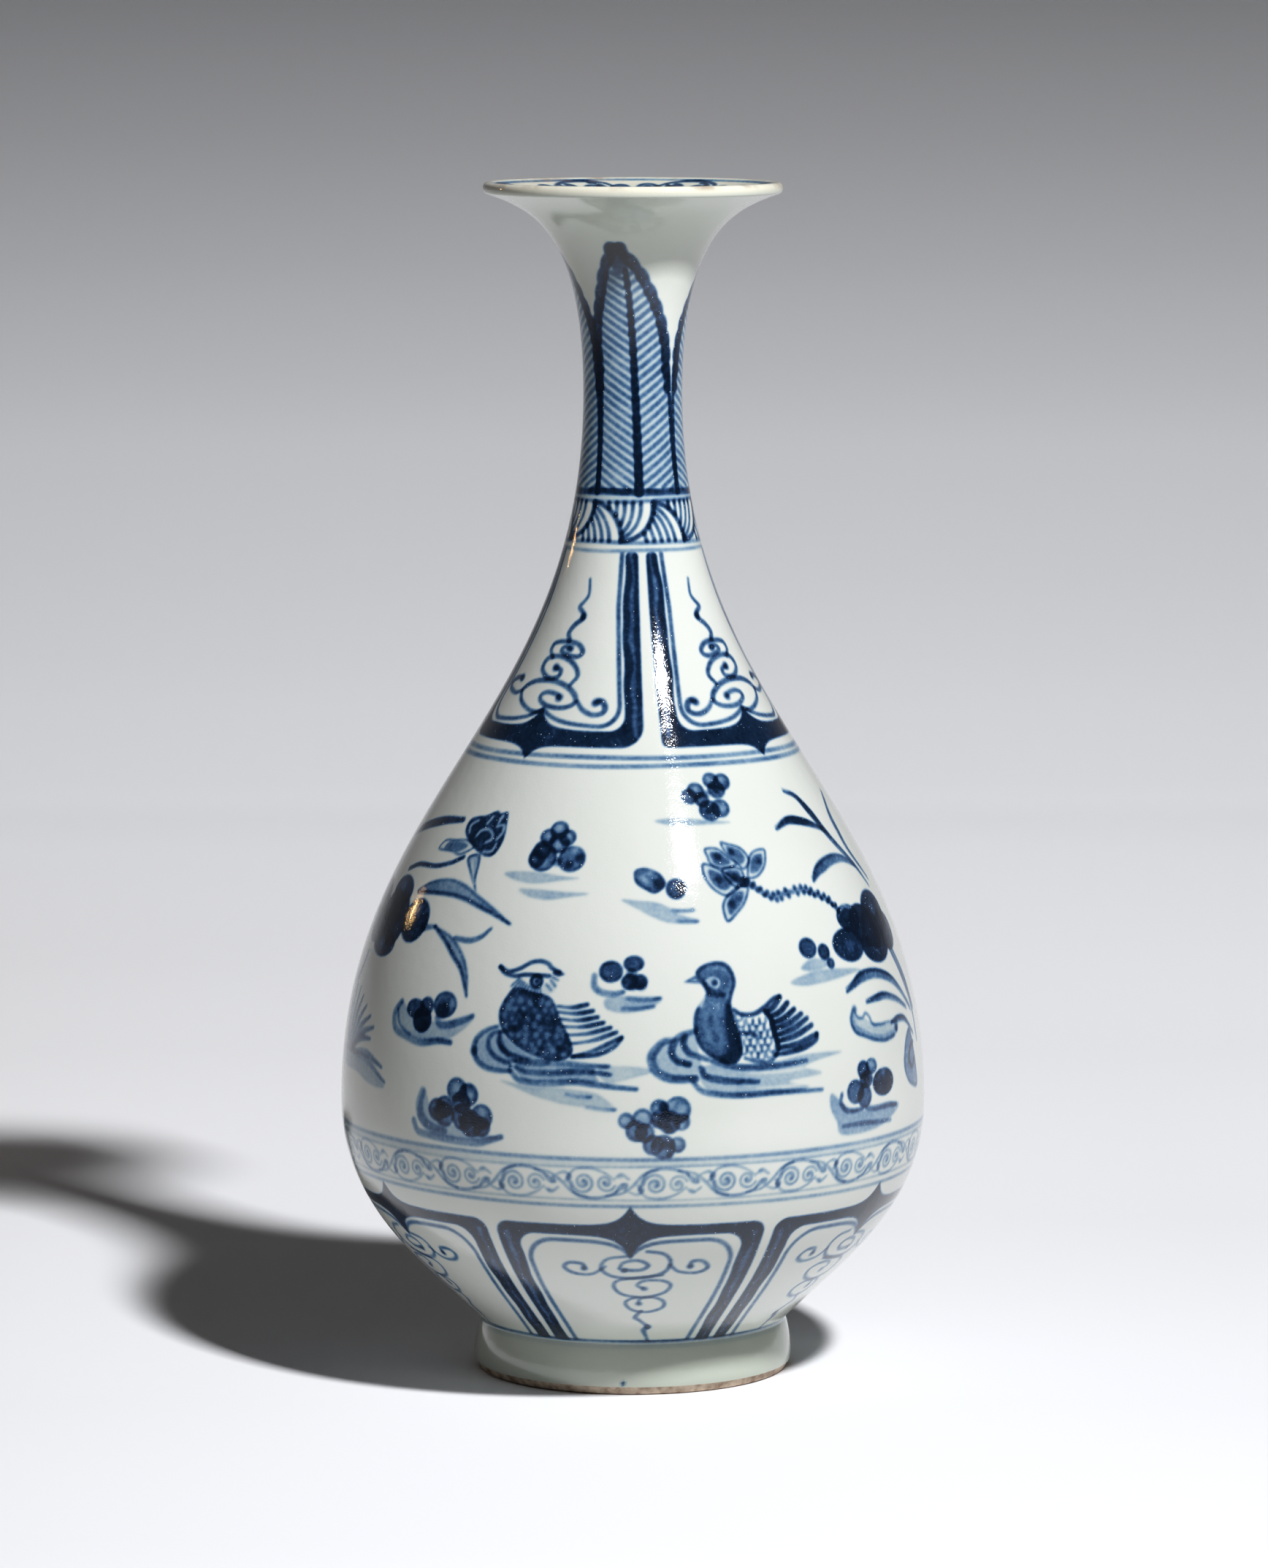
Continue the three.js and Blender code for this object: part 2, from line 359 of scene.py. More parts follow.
def turned(name, section, steps_around, material, corners=(), closed=True):
    """Sweeps a section of radii and heights round the axis. Gives the row and turn of each point too."""
    flat = bpy.data.meshes.new(name + "_section")
    count = len(section)
    edges = [(i, (i + 1) % count) for i in range(count if closed else count - 1)]
    flat.from_pydata([(radius - path_radius, -height, 0) for radius, height in section], edges, [])
    flat.attributes.new("row", "INT", "POINT").data.foreach_set("value", np.arange(count))
    piece = bpy.data.objects.new(name, flat)
    scene.collection.objects.link(piece)
    turning = piece.modifiers.new("turned_ring", "NODES")
    turning.node_group = ring_tree
    turning[ring_input["Steps Around"]] = steps_around
    turning[ring_input["Path Radius"]] = path_radius
    turning[ring_input["Finish"]] = material
    ring = bpy.data.meshes.new_from_object(piece.evaluated_get(bpy.context.evaluated_depsgraph_get()))
    piece.modifiers.clear()
    piece.data = ring
    ring.name = name
    bpy.data.meshes.remove(flat)
    form = bmesh.new()
    form.from_mesh(ring)
    if form.calc_volume(signed=True) < 0:
        ring.flip_normals()
    form.free()
    row = np.zeros(len(ring.vertices), np.int32)
    turn = np.zeros(len(ring.vertices), np.float32)
    ends = np.zeros(len(ring.edges) * 2, np.int32)
    ring.attributes["row"].data.foreach_get("value", row)
    ring.attributes["turn"].data.foreach_get("value", turn)
    ring.edges.foreach_get("vertices", ends)
    ends = row[ends].reshape(-1, 2)
    creased = (ends[:, 0] == ends[:, 1]) & np.isin(ends[:, 0], corners)
    ring.attributes.new("sharp_edge", "BOOLEAN", "EDGE").data.foreach_set("value", creased)
    ring.attributes.remove(ring.attributes["row"])
    ring.attributes.remove(ring.attributes["turn"])
    return piece, row, turn


def part_of(outline, way, from_way, to_way, step):
    """The stretch of an outline between two distances along it, in even steps."""
    ways = np.linspace(from_way, to_way, max(math.ceil(abs(to_way - from_way) / step), 1) + 1)
    return np.stack([np.interp(ways, way, outline[:, 0]), np.interp(ways, way, outline[:, 1])], -1)


def part_between(outline, low, high, step=1.5 * mm):
    """The stretch of a climbing outline between two heights."""
    way = walked(outline)
    from_way, to_way = np.interp((low, high), np.maximum.accumulate(outline[:, 1]), way)
    return part_of(outline, way, from_way, to_way, step)


burnt_clay = (0.24, 0.16, 0.11)
pale_clay = (0.56, 0.45, 0.35)
bare_clay, clay_tree, clay_shader = new_finish("bare_clay", {"Roughness": 0.75})
clay_place = node(clay_tree, "ShaderNodeTexCoord", {})
clay_grain = node(clay_tree, "ShaderNodeTexNoise", {
    "Vector": clay_place.outputs["Object"], "Scale": 420, "Detail": 5})
clay_colour = graded(clay_tree, clay_grain.outputs["Fac"], ((0.32, burnt_clay), (0.6, pale_clay)))
clay_bump = node(clay_tree, "ShaderNodeBump", {
    "Height": clay_grain.outputs["Fac"], "Strength": 0.3, "Distance": 0.0003})
clay_tree.links.new(clay_colour, clay_shader.inputs["Base Color"])
clay_tree.links.new(clay_bump.outputs["Normal"], clay_shader.inputs["Normal"])


def thrown(name, node_name, section, corners=(), closed=True):
    """One piece of clay, which stands for its solid in the frame."""
    piece = turned(name, section, clay_steps_around, bare_clay, corners, closed)[0]
    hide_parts(node_name)
    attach(piece, "root")


waist_clay = waist_radius - 0.6 * mm
foot_section = np.array([
    (contact_outer, 0),
    (contact_outer + 0.9 * mm, 0.35 * mm),
    (foot_radius - 1.1 * mm, 1.2 * mm),
    (foot_radius - 0.45 * mm, bare_band),
    (foot_radius - 0.6 * mm, 4 * mm),
    (waist_clay, foot_height - 0.4 * mm),
    (well_radius, foot_height - 0.4 * mm),
    (contact_inner - 0.4 * mm, 1.4 * mm),
    (contact_inner - 0.1 * mm, 0.3 * mm),
    (contact_inner, 0),
])
thrown("bare_foot_ring", "foot_ring", foot_section, range(len(foot_section)))

base_line = np.array([(0, well_top), (waist_clay, well_top)])
thrown("lower_body_clay", "lower_body", np.vstack([
    base_line, part_between(outer_clay, foot_height + 0.5 * mm, body_joint),
    part_between(inner_clay, floor_height, body_joint)[::-1]]), closed=False)
for section_name, low, high in (
    ("upper_body", body_joint, shoulder_joint),
    ("neck", shoulder_joint, neck_joint),
    ("mouth_rim", neck_joint, clay_crest[1]),
):
    thrown(section_name + "_clay", section_name, np.vstack([
        part_between(outer_clay, low, high), part_between(inner_clay, low, high)[::-1]]))

# The glaze: one clear coat, slightly green where it lies thick, over the cobalt, and darker green at the foot
# and up the trumpet, where that green is partly painted shade. The blue goes from a pale wash to near black
# where the pigment heaped, with pale dots in it, partly pinholes and partly painted glints off bubbles, and a
# few iron specks.
glazed, glaze_tree, glaze_shader = new_finish("cobalt_and_glaze", {
    "Roughness": 0.06, "IOR": 1.5, "Coat Weight": 0.2, "Coat Roughness": 0.02})
white_glaze = (0.60, 0.62, 0.595, 1)
# Green of thick glaze, darker than the white so that where it is mixed in it is also painted shade.
green_glaze_and_shade = (0.46, 0.50, 0.43, 1)
cream_glaze = (0.66, 0.63, 0.53, 1)
rust = (0.20, 0.12, 0.07, 1)
cobalt_stops = (
    (0.0, (1.0, 1.0, 1.0)),
    (0.1, (0.56, 0.68, 0.79)),
    (0.2, (0.28, 0.43, 0.64)),
    (0.33, (0.087, 0.195, 0.40)),
    (0.5, (0.024, 0.064, 0.18)),
    (0.67, (0.007, 0.022, 0.062)),
    (1.0, (0.003, 0.009, 0.026)),
)
heaviest_tone = 1.5


def noise_between(tree, place, scale, low, high, detail=3):
    """Noise spread over a range of values."""
    noise = node(tree, "ShaderNodeTexNoise", {"Vector": place, "Scale": scale, "Detail": detail})
    spread_out = node(tree, "ShaderNodeMapRange", {
        "Value": noise.outputs["Fac"], "From Min": 0.3, "From Max": 0.7, "To Min": low, "To Max": high})
    return spread_out.outputs["Result"]


def calculated(tree, operation, *values):
    """One step of arithmetic in a material."""
    return node(tree, "ShaderNodeMath", dict(enumerate(values)), operation=operation).outputs[0]


def dotted(tree, place, scale, radius, share):
    """A mask of small round dots of up to this radius, in this share of an even scatter of cells."""
    cells = node(tree, "ShaderNodeTexVoronoi", {"Vector": place, "Scale": scale})
    chance = node(tree, "ShaderNodeSeparateColor", {0: cells.outputs["Color"]})
    size = calculated(tree, "MULTIPLY", chance.outputs["Green"], radius)
    close = calculated(tree, "LESS_THAN", cells.outputs["Distance"], size)
    chosen = calculated(tree, "LESS_THAN", chance.outputs["Red"], share)
    return calculated(tree, "MULTIPLY", close, chosen)


glaze_place = node(glaze_tree, "ShaderNodeTexCoord", {}).outputs["Object"]
glaze_split = node(glaze_tree, "ShaderNodeSeparateXYZ", {0: glaze_place})
glaze_height = glaze_split.outputs["Z"]
cobalt = node(glaze_tree, "ShaderNodeAttribute", {}, attribute_name="cobalt").outputs["Fac"]
grain = noise_between(glaze_tree, glaze_place, scale=900, low=0.84, high=1.16)
clouds = noise_between(glaze_tree, glaze_place, scale=150, low=0.82, high=1.18)
heaped = calculated(glaze_tree, "MULTIPLY", calculated(glaze_tree, "MULTIPLY", grain, clouds), cobalt)
# Pale dots in the deepest blue: partly pinholes in the glaze, partly painted glints of light off the glaze's
# bubbles.
pinholes_and_glints = dotted(glaze_tree, glaze_place, scale=1100, radius=0.17, share=0.6)
deep_tone = 0.6
pinhole_and_glint_loss = 0.8
deep = calculated(glaze_tree, "GREATER_THAN", cobalt, deep_tone)
deep_pinholes_and_glints = calculated(glaze_tree, "MULTIPLY", pinholes_and_glints, deep)
heaped = calculated(glaze_tree, "MULTIPLY_ADD", deep_pinholes_and_glints, -pinhole_and_glint_loss, heaped)
blue = graded(glaze_tree, calculated(glaze_tree, "DIVIDE", heaped, heaviest_tone), cobalt_stops)


def by_height(start, end, most):
    """A share that grows from nothing to its most between two heights."""
    share = node(glaze_tree, "ShaderNodeMapRange", {
        "Value": glaze_height, "From Min": start, "From Max": end, "To Min": 0.0, "To Max": most})
    return share.outputs["Result"]


# Greener and darker at the foot and up the trumpet: partly glaze lying thick, partly painted shade on faces
# turned down and away from the lamp.
pooled_glaze_and_foot_shade = by_height(0.020, 0.011, most=0.85)
trumpet_pool_and_shade = by_height(0.262, 0.290, most=0.65)
at_rim = by_height(0.2955, 0.2968, most=0.8)
burnt_rim = by_height(0.2966, 0.2976, most=0.6)
uneven = noise_between(glaze_tree, glaze_place, scale=22, low=-0.08, high=0.14)
thick_glaze_and_shade = calculated(glaze_tree, "ADD", calculated(glaze_tree, "ADD", pooled_glaze_and_foot_shade, trumpet_pool_and_shade), uneven)
base = mixed(glaze_tree, thick_glaze_and_shade, white_glaze, green_glaze_and_shade)
base = mixed(glaze_tree, at_rim, base, cream_glaze)
painted = mixed(glaze_tree, 1.0, base, blue, "MULTIPLY")
specks = dotted(glaze_tree, glaze_place, scale=45, radius=0.022, share=0.9)
rim_patches = noise_between(glaze_tree, glaze_place, scale=130, low=-0.9, high=1.0)
rim_burns = calculated(glaze_tree, "MULTIPLY", burnt_rim, calculated(glaze_tree, "MAXIMUM", rim_patches, 0.0))
burnt = calculated(glaze_tree, "MAXIMUM", specks, rim_burns)
glaze_tree.links.new(mixed(glaze_tree, burnt, painted, rust), glaze_shader.inputs["Base Color"])
orange_peel = noise_between(glaze_tree, glaze_place, scale=260, low=0, high=0.8, detail=1)
fine_grit = noise_between(glaze_tree, glaze_place, scale=2200, low=0, high=0.3, detail=1)
glaze_bump = node(glaze_tree, "ShaderNodeBump", {
    "Height": calculated(glaze_tree, "ADD", orange_peel, fine_grit), "Strength": 1.0, "Distance": 0.00003})
glaze_tree.links.new(glaze_bump.outputs["Normal"], glaze_shader.inputs["Normal"])

# The painting: the wall is unrolled into a flat sheet of paint, one row for each step along its
# outline and one column for each small turn. Motifs are drawn on it in millimetres from a spot.
row_step = 0.2
column_count = 2400
creep = 0.2
creep_rows = 4
most_triangles = 190000
rows_for_back = 6
back_step = 6.0
back_step_at_waist = 0.8
past_waist = 6.0
column_turn = np.arange(column_count) * 360 / column_count - 180


class UnrolledWall:
    """One face of the wall laid out flat, with the tone of the paint at each place."""

    def __init__(self, face, back):
        self.face = face
        self.back = back
        self.way = walked(face) / mm
        self.row_way = np.arange(int(self.way[-1] / row_step) + 1) * row_step
        self.row_radius = np.interp(self.row_way, self.way, face[:, 0]) / mm
        self.climb = np.maximum.accumulate(face[:, 1]) / mm
        self.tone = np.zeros((len(self.row_way), column_count), np.float32)

    def way_at(self, height):
        """How far along the outline this height is."""
        return np.interp(height, self.climb, self.way)

    def radius_at(self, way):
        """The wall's radius this far along the outline."""
        return np.interp(way, self.row_way, self.row_radius)

    def fired(self):
        """The painting after the kiln, where the cobalt has crept a little way into the glaze round it."""
        waves = np.fft.rfft(self.tone, axis=1)
        order = np.arange(waves.shape[1])
        waves *= np.exp(-0.5 * (order * creep / np.maximum(self.row_radius, 1)[:, None]) ** 2)
        around = np.fft.irfft(waves, n=column_count, axis=1)
        steps = np.arange(-creep_rows, creep_rows + 1)
        shares = np.exp(-0.5 * (steps * row_step / creep) ** 2)
        return sum(np.roll(around, step, axis=0) * share for step, share in zip(steps, shares)) / shares.sum()

    def read(self, tone, way, turn):
        """The tone at these places, read smoothly between the rows and columns."""
        row = np.clip(way / row_step, 0, len(self.row_way) - 1.001)
        column = (turn + 180) / 360 * column_count % column_count
        low, left = np.floor(row).astype(int), np.floor(column).astype(int) % column_count
        right = (left + 1) % column_count
        up, across = row - low, column - np.floor(column)
        lower = tone[low, left] * (1 - across) + tone[low, right] * across
        upper = tone[low + 1, left] * (1 - across) + tone[low + 1, right] * across
        return np.clip(lower * (1 - up) + upper * up, 0, heaviest_tone)


class Spot:
    """A place that strokes are measured from, across to the right and up, or mirrored."""

    def __init__(self, wall, turn, height, right=1, up=1):
        self.wall = wall
        self.turn = turn
        self.way = float(wall.way_at(height))
        self.hand = np.array((right, up))

    def along(self, turns, rises):
        """Millimetre points from turns in degrees and rises in millimetres, both from the spot."""
        radius = self.wall.radius_at(self.way + np.array(rises) * self.hand[1])
        return np.stack([np.radians(turns) * radius, rises], -1)


def soft_edge(distance, softness):
    """1 inside an edge and 0 outside it, with a smooth step between."""
    share = np.clip(0.5 - distance / softness, 0, 1)
    return share * share * (3 - 2 * share)


def flowing(points, closed=False, steps=5):
    """A smooth line through a few chosen points."""
    p = np.array(points, float)
    if len(p) < 3:
        return p
    if closed:
        p = np.vstack([p[-1], p, p[0], p[1]])
    else:
        p = np.vstack([2 * p[0] - p[1], p, 2 * p[-1] - p[-2]])
    t = np.linspace(0, 1, steps, endpoint=False)[:, None]
    curves = [
        0.5 * (2 * b + (c - a) * t + (2 * a - 5 * b + 4 * c - d) * t ** 2 + (3 * b - a - 3 * c + d) * t ** 3)
        for a, b, c, d in zip(p[:-3], p[1:-2], p[2:-1], p[3:])
    ]
    return np.vstack(curves + [p[-2:-1]])


class Patch:
    """The stretch of a wall that a motif touches, measured in millimetres from the motif's spot."""

    def __init__(self, spot, line, reach):
        self.wall = spot.wall
        low = int((spot.way + line[:, 1].min() - reach) / row_step)
        high = int((spot.way + line[:, 1].max() + reach) / row_step) + 2
        self.rows = np.arange(max(low, 0), min(high, len(self.wall.row_way)))
        self.radius = self.wall.row_radius[self.rows]
        self.up = self.wall.row_way[self.rows] - spot.way
        limits = np.array([line[:, 0].min() - reach, line[:, 0].max() + reach])
        spans = np.degrees(limits[:, None] / np.array([self.radius.min(), self.radius.max()]))
        first = math.floor((spot.turn + spans.min() + 180) / 360 * column_count)
        last = math.ceil((spot.turn + spans.max() + 180) / 360 * column_count)
        columns = np.arange(first, min(last, first + column_count - 1) + 1)
        self.turn = np.radians(columns * 360 / column_count - 180 - spot.turn)
        self.columns = columns % column_count
        self.mask = np.zeros((len(self.rows), len(columns)), np.float32)

    def near(self, points, reach):
        """The rows and columns of the patch that lie round a few points."""
        xs, ys = points[:, 0], points[:, 1]
        low, high = np.searchsorted(self.up, (ys.min() - reach, ys.max() + reach))
        limits = np.array([xs.min() - reach, xs.max() + reach])
        spans = limits[:, None] / np.array([self.radius.min(), self.radius.max()])
        left, right = np.searchsorted(self.turn, (spans.min(), spans.max()))
        return slice(low, high), slice(left, right)

    def measured(self, near=(slice(None), slice(None))):
        """How far across and up each of these places is."""
        across = self.turn[None, near[1]] * self.radius[near[0], None]
        return across, np.broadcast_to(self.up[near[0], None], across.shape)

    def lay(self, lift):
        """Adds the strokes to the painting, or wipes the painting away under them."""
        place = np.ix_(self.rows, self.columns)
        if lift:
            self.wall.tone[place] *= 1 - self.mask
        else:
            self.wall.tone[place] += self.mask


def from_segment(across, up, start, end):
    """The distance from a straight segment and the share along it of the nearest point."""
    step = end - start
    span = max(float(step @ step), 1e-9)
    share = np.clip(((across - start[0]) * step[0] + (up - start[1]) * step[1]) / span, 0, 1)
    return np.hypot(across - start[0] - share * step[0], up - start[1] - share * step[1]), share


def spread(value, count):
    """One value, or several spread evenly, as a list of this length."""
    values = np.atleast_1d(np.array(value, float))
    return np.interp(np.linspace(0, 1, count), np.linspace(0, 1, len(values)), values)


def stroke(spot, points, width, tone, softness=0.3, smooth=True, lift=False):
    """One brush stroke. Its width and tone are single values or several spread along it."""
    line = (flowing(points) if smooth else np.array(points, float)) * spot.hand
    half = spread(width, len(line)) / 2
    load = spread(tone, len(line))
    patch = Patch(spot, line, half.max() + softness)
    for i in range(len(line) - 1):
        near = patch.near(line[i:i + 2], half[i:i + 2].max() + softness)
        distance, share = from_segment(*patch.measured(near), line[i], line[i + 1])
        distance -= half[i] + share * (half[i + 1] - half[i])
        inked = soft_edge(distance, softness) * (load[i] + share * (load[i + 1] - load[i]))
        patch.mask[near] = np.maximum(patch.mask[near], inked)
    patch.lay(lift)


def strokes(spot, rows, **ink):
    """Several brush strokes, each row a line, its width, its tone and, if not the usual one, its softness."""
    for points, width, tone, *softness in rows:
        stroke(spot, points, width, tone, *softness, **ink)


def wash(spot, points, tone, rim=0.0, rim_width=0.6, softness=0.35, smooth=True, lift=False):
    """A filled shape, darker along its rim where the pigment settles."""
    line = flowing(points, closed=True) if smooth else np.array(list(points) + [points[0]], float)
    line = line * spot.hand
    reach = rim_width + softness
    patch = Patch(spot, line, reach)
    across, up = patch.measured()
    inside = np.zeros(across.shape, bool)
    edge = np.full(across.shape, 99.0)
    for start, end in zip(line[:-1], line[1:]):
        near = patch.near(np.array([start, end]), reach)
        edge[near] = np.minimum(edge[near], from_segment(*patch.measured(near), start, end)[0])
        if start[1] != end[1]:
            slope = (end[0] - start[0]) / (end[1] - start[1])
            inside ^= ((start[1] > up) != (end[1] > up)) & (across < start[0] + (up - start[1]) * slope)
    depth = np.where(inside, -edge, edge)
    patch.mask[:] = soft_edge(depth, softness) * tone
    patch.mask += soft_edge(np.abs(depth + rim_width / 2) - rim_width / 2, softness) * rim
    patch.lay(lift)


def dab(spot, x, y, radius, tone, rim=0.0, tall=1.0, softness=0.35, lift=False):
    """A round touch of a full brush, or an oval one where tall isn't 1."""
    line = np.array([(x - radius, y - tall * radius), (x + radius, y + tall * radius)]) * spot.hand
    patch = Patch(spot, line, softness)
    across, up = patch.measured()
    aside, above = across * spot.hand[0] - x, (up * spot.hand[1] - y) / tall
    depth = np.hypot(aside, above) - radius
    patch.mask[:] = soft_edge(depth, softness) * tone
    patch.mask += soft_edge(np.abs(depth + 0.35) - 0.35, 0.4) * rim
    patch.lay(lift)


def ring_line(wall, height, width, tone, wander=0.15):
    """A line drawn round the whole wall on the turntable, with a slight wander."""
    turn = np.radians(column_turn)
    drift = wander * np.sin(2 * turn + height) + wander / 2 * np.sin(5 * turn + 2 * height)
    distance = np.abs(wall.row_way[:, None] - wall.way_at(height) - drift[None, :]) - width / 2
    near = np.abs(wall.row_way - wall.way_at(height)) < width + 2 * wander + 1
    load = 1 + 0.12 * np.sin(3 * turn + height) + 0.1 * np.sin(11 * turn + height / 2)
    wall.tone[near] += soft_edge(distance[near], 0.4) * tone * load


def ring_lines(wall, rows, wander=0.15):
    """Several such lines, each row a height, a width and a tone."""
    for height, width, tone in rows:
        ring_line(wall, height, width, tone, wander)


def dabs(spot, places, radius, tone, **ink):
    """The same touch of the brush in several places."""
    for x, y in places:
        dab(spot, x, y, radius, tone, **ink)


def scattered_inside(points, spacing):
    """Staggered places inside a closed shape."""
    line = flowing(points, closed=True)
    low, high = line.min(0), line.max(0)
    places = []
    for number, y in enumerate(np.arange(low[1], high[1], spacing * 0.87)):
        for x in np.arange(low[0] + number % 2 * spacing / 2, high[0], spacing):
            crossings = [
                (a[1] > y) != (b[1] > y) and x < a[0] + (y - a[1]) * (b[0] - a[0]) / (b[1] - a[1])
                for a, b in zip(line[:-1], line[1:])
            ]
            if sum(crossings) % 2 and np.hypot(*(line - (x, y)).T).min() > spacing * 0.4:
                places.append((x, y))
    return places


def lay_flat(mesh, row, turn, row_count, corner_count, quarter_width, height):
    """A flat layout of a ring for its picture: the front in four quarters, the back in a strip below."""
    loops = np.zeros(len(mesh.loops), np.int32)
    starts = np.zeros(len(mesh.polygons), np.int32)
    sizes = np.zeros(len(mesh.polygons), np.int32)
    mesh.loops.foreach_get("vertex_index", loops)
    mesh.polygons.foreach_get("loop_start", starts)
    mesh.polygons.foreach_get("loop_total", sizes)
    face = np.repeat(np.arange(len(starts)), sizes)
    corner_turn = (turn[loops] - 90) % 360
    wraps = np.maximum.reduceat(corner_turn, starts) - np.minimum.reduceat(corner_turn, starts) > 180
    corner_turn = np.where(wraps[face] & (corner_turn < 180), corner_turn + 360, corner_turn)
    corner_row = row[loops]
    last_row = np.maximum.reduceat(corner_row, starts)[face]
    first_row = np.minimum.reduceat(corner_row, starts)[face]
    hidden = last_row >= row_count
    closing = (last_row == corner_count - 1) & (first_row == 0) & (corner_row == 0)
    corner_row = np.where(closing, corner_count, corner_row)
    quarter = np.minimum(np.minimum.reduceat(corner_turn, starts) // 90, 3)[face]
    density = {across: min(1 / (across * quarter_width), across / (4 * height)) for across in (1, 2, 4)}
    across = max(density, key=density.get)
    u = (quarter % across + 0.01 + 0.98 * (corner_turn / 90 - quarter)) / across
    v = 0.04 + 0.96 * (quarter // across + 0.015 + 0.97 * corner_row / (row_count - 1)) * across / 4
    u = np.where(hidden, 0.01 + 0.98 * corner_turn / 360, u)
    v = np.where(hidden, 0.005 + 0.03 * (corner_row - row_count + 1) / (corner_count - row_count + 1), v)
    layout = mesh.uv_layers.new(name="OFBake")
    layout.data.foreach_set("uv", np.stack([u, v], -1).astype(np.float32).ravel())


def lay_glaze(name, wall, from_way, to_way, spacing, node_name):
    """Covers a stretch of a wall with closed rings of glaze that carry the painting under them."""
    widest = wall.row_radius[(wall.row_way >= from_way) & (wall.row_way <= to_way)].max()
    steps_around = 4 * math.ceil(2 * math.pi * widest / spacing / 4)
    most_rows = int(most_triangles / 2 / steps_around) - rows_for_back
    ring_count = math.ceil((to_way - from_way) / spacing / most_rows)
    edges = np.linspace(from_way, to_way, ring_count + 1)
    fired = wall.fired()
    for number, (low, high) in enumerate(zip(edges[:-1], edges[1:]), 1):
        front = part_of(wall.face, wall.way, low, high, spacing)
        bend_end = np.clip(wall.way_at(foot_height / mm) + past_waist, low, high)
        back_way = np.concatenate([
            np.arange(high, bend_end, -back_step), np.arange(bend_end, low, -back_step_at_waist), [low]])
        back = np.stack([np.interp(back_way, wall.way, side) for side in wall.back.T], -1)
        closed = min(front[0, 0], back[-1, 0]) > 0
        row_count, corner_count = len(front), len(front) + len(back)
        corners = (0, row_count - 1, row_count, corner_count - 1)
        ring_name = name if ring_count == 1 else f"{name}_{number}"
        ring, row, turn = turned(ring_name, np.vstack([front, back]), steps_around, glazed, corners, closed)
        row_way = np.linspace(low, high, row_count)
        tone = wall.read(fired, row_way[np.minimum(row, row_count - 1)], turn)
        tone[row >= row_count] = 0
        layer = ring.data.attributes.new("cobalt", "FLOAT", "POINT")
        layer.data.foreach_set("value", tone.astype(np.float32))
        lay_flat(ring.data, row, turn, row_count, corner_count, widest * math.pi / 2, high - low)
        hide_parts(node_name)
        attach(ring, "root")

# The foot: glazed down to a bare edge, with one line of cobalt where the bowl springs from it.
joint_line = 13.5
outside = UnrolledWall(outer_face, outer_clay)
ring_lines(outside, ((joint_line, 1.1, 0.62), (joint_line - 1.1, 1.6, 0.07)), wander=0.05)
dab(Spot(outside, -3.4, 3.2), 0, 0, 0.5, 1.0)
foot_end = outside.way_at(12.4)
lay_glaze("foot_glaze", outside, 0, foot_end, 0.6, "outer_glaze")

# The bowl: six upright panels, each a thick bar with a thin line inside it. Both rise to an ogee
# point, and a curling scroll with a wavering tail hangs from the point.


def rounded_depth(side_gap, end_gap, corner):
    """How deep a place lies inside two edges that meet in a rounded corner."""
    in_corner = (side_gap < corner) & (end_gap < corner)
    return np.where(in_corner, corner - np.hypot(corner - side_gap, corner - end_gap),
                    np.minimum(side_gap, end_gap))


def panel(spot, half_turn, open_end, bar, inner_bar, line, bar_side, line_side, tones, line_tone,
          line_half=0.55, open_corner=0.01):
    """A panel's border, from its open end down to its pointed end, which lies below the spot.

    Bar, inner bar and line each give the height of that edge's flat part, the rise and the reach
    of its point and the radius of its corner. Sides give widths from the pointed to the open end."""
    reach = np.array([(-60, bar[0] - abs(bar[1])), (60, open_end)]) * spot.hand
    half_width = math.radians(half_turn) * spot.wall.row_radius.max()
    patch = Patch(spot, np.clip(reach, (-half_width, -99), (half_width, 99)), 1.0)
    across, up = patch.measured()
    across, up = across * spot.hand[0], up * spot.hand[1]
    side = np.radians(half_turn) * patch.radius[:, None] - np.abs(across)
    opening = np.clip(up / open_end, 0, 1)

    def depth(edge, gap):
        height, rise, flank, corner = edge
        point = rise * np.exp(-np.abs(across) / flank)
        steep = np.hypot(1, point / flank)
        return rounded_depth(side - gap, (up - height - point) / steep, corner)

    bar_width = np.interp(opening, np.linspace(0, 1, len(bar_side)), bar_side)
    line_gap = np.interp(opening, np.linspace(0, 1, len(line_side)), line_side)
    wander = 0.12 * np.sin(0.55 * up + spot.turn) + 0.1 * np.sin(0.31 * up + 2 * spot.turn) * np.sign(across)
    inner = depth(inner_bar, bar_width + wander)
    edge = np.minimum(depth(bar, 0), -inner)
    edge = rounded_depth(edge, open_end - up, open_corner)
    dark, light = tones
    streak_place = 0.45 * bar_width + 2 * wander
    streak = soft_edge(np.abs(side - streak_place) - 0.22 * bar_width * (0.7 + wander), 0.9)
    patch.mask[:] = soft_edge(-edge, 0.35) * (dark - (dark - light) * streak * (up > bar[0] + 2.5))
    thin = np.abs(depth(line, bar_width + line_gap)) - line_half
    thin = np.maximum(thin, up - open_end)
    patch.mask += soft_edge(thin, 0.35) * line_tone
    patch.lay(False)


def spiral(x, y, radius, turns, start=0.0, sense=1):
    """A curl that winds inwards round a point, from a start angle in degrees."""
    sweep = np.linspace(0, 1, 24)
    angle = math.radians(start) + sense * sweep * turns * 2 * math.pi
    winding = radius * (1 - 0.82 * sweep)
    return np.stack([x + winding * np.cos(angle), y + winding * np.sin(angle)], -1)


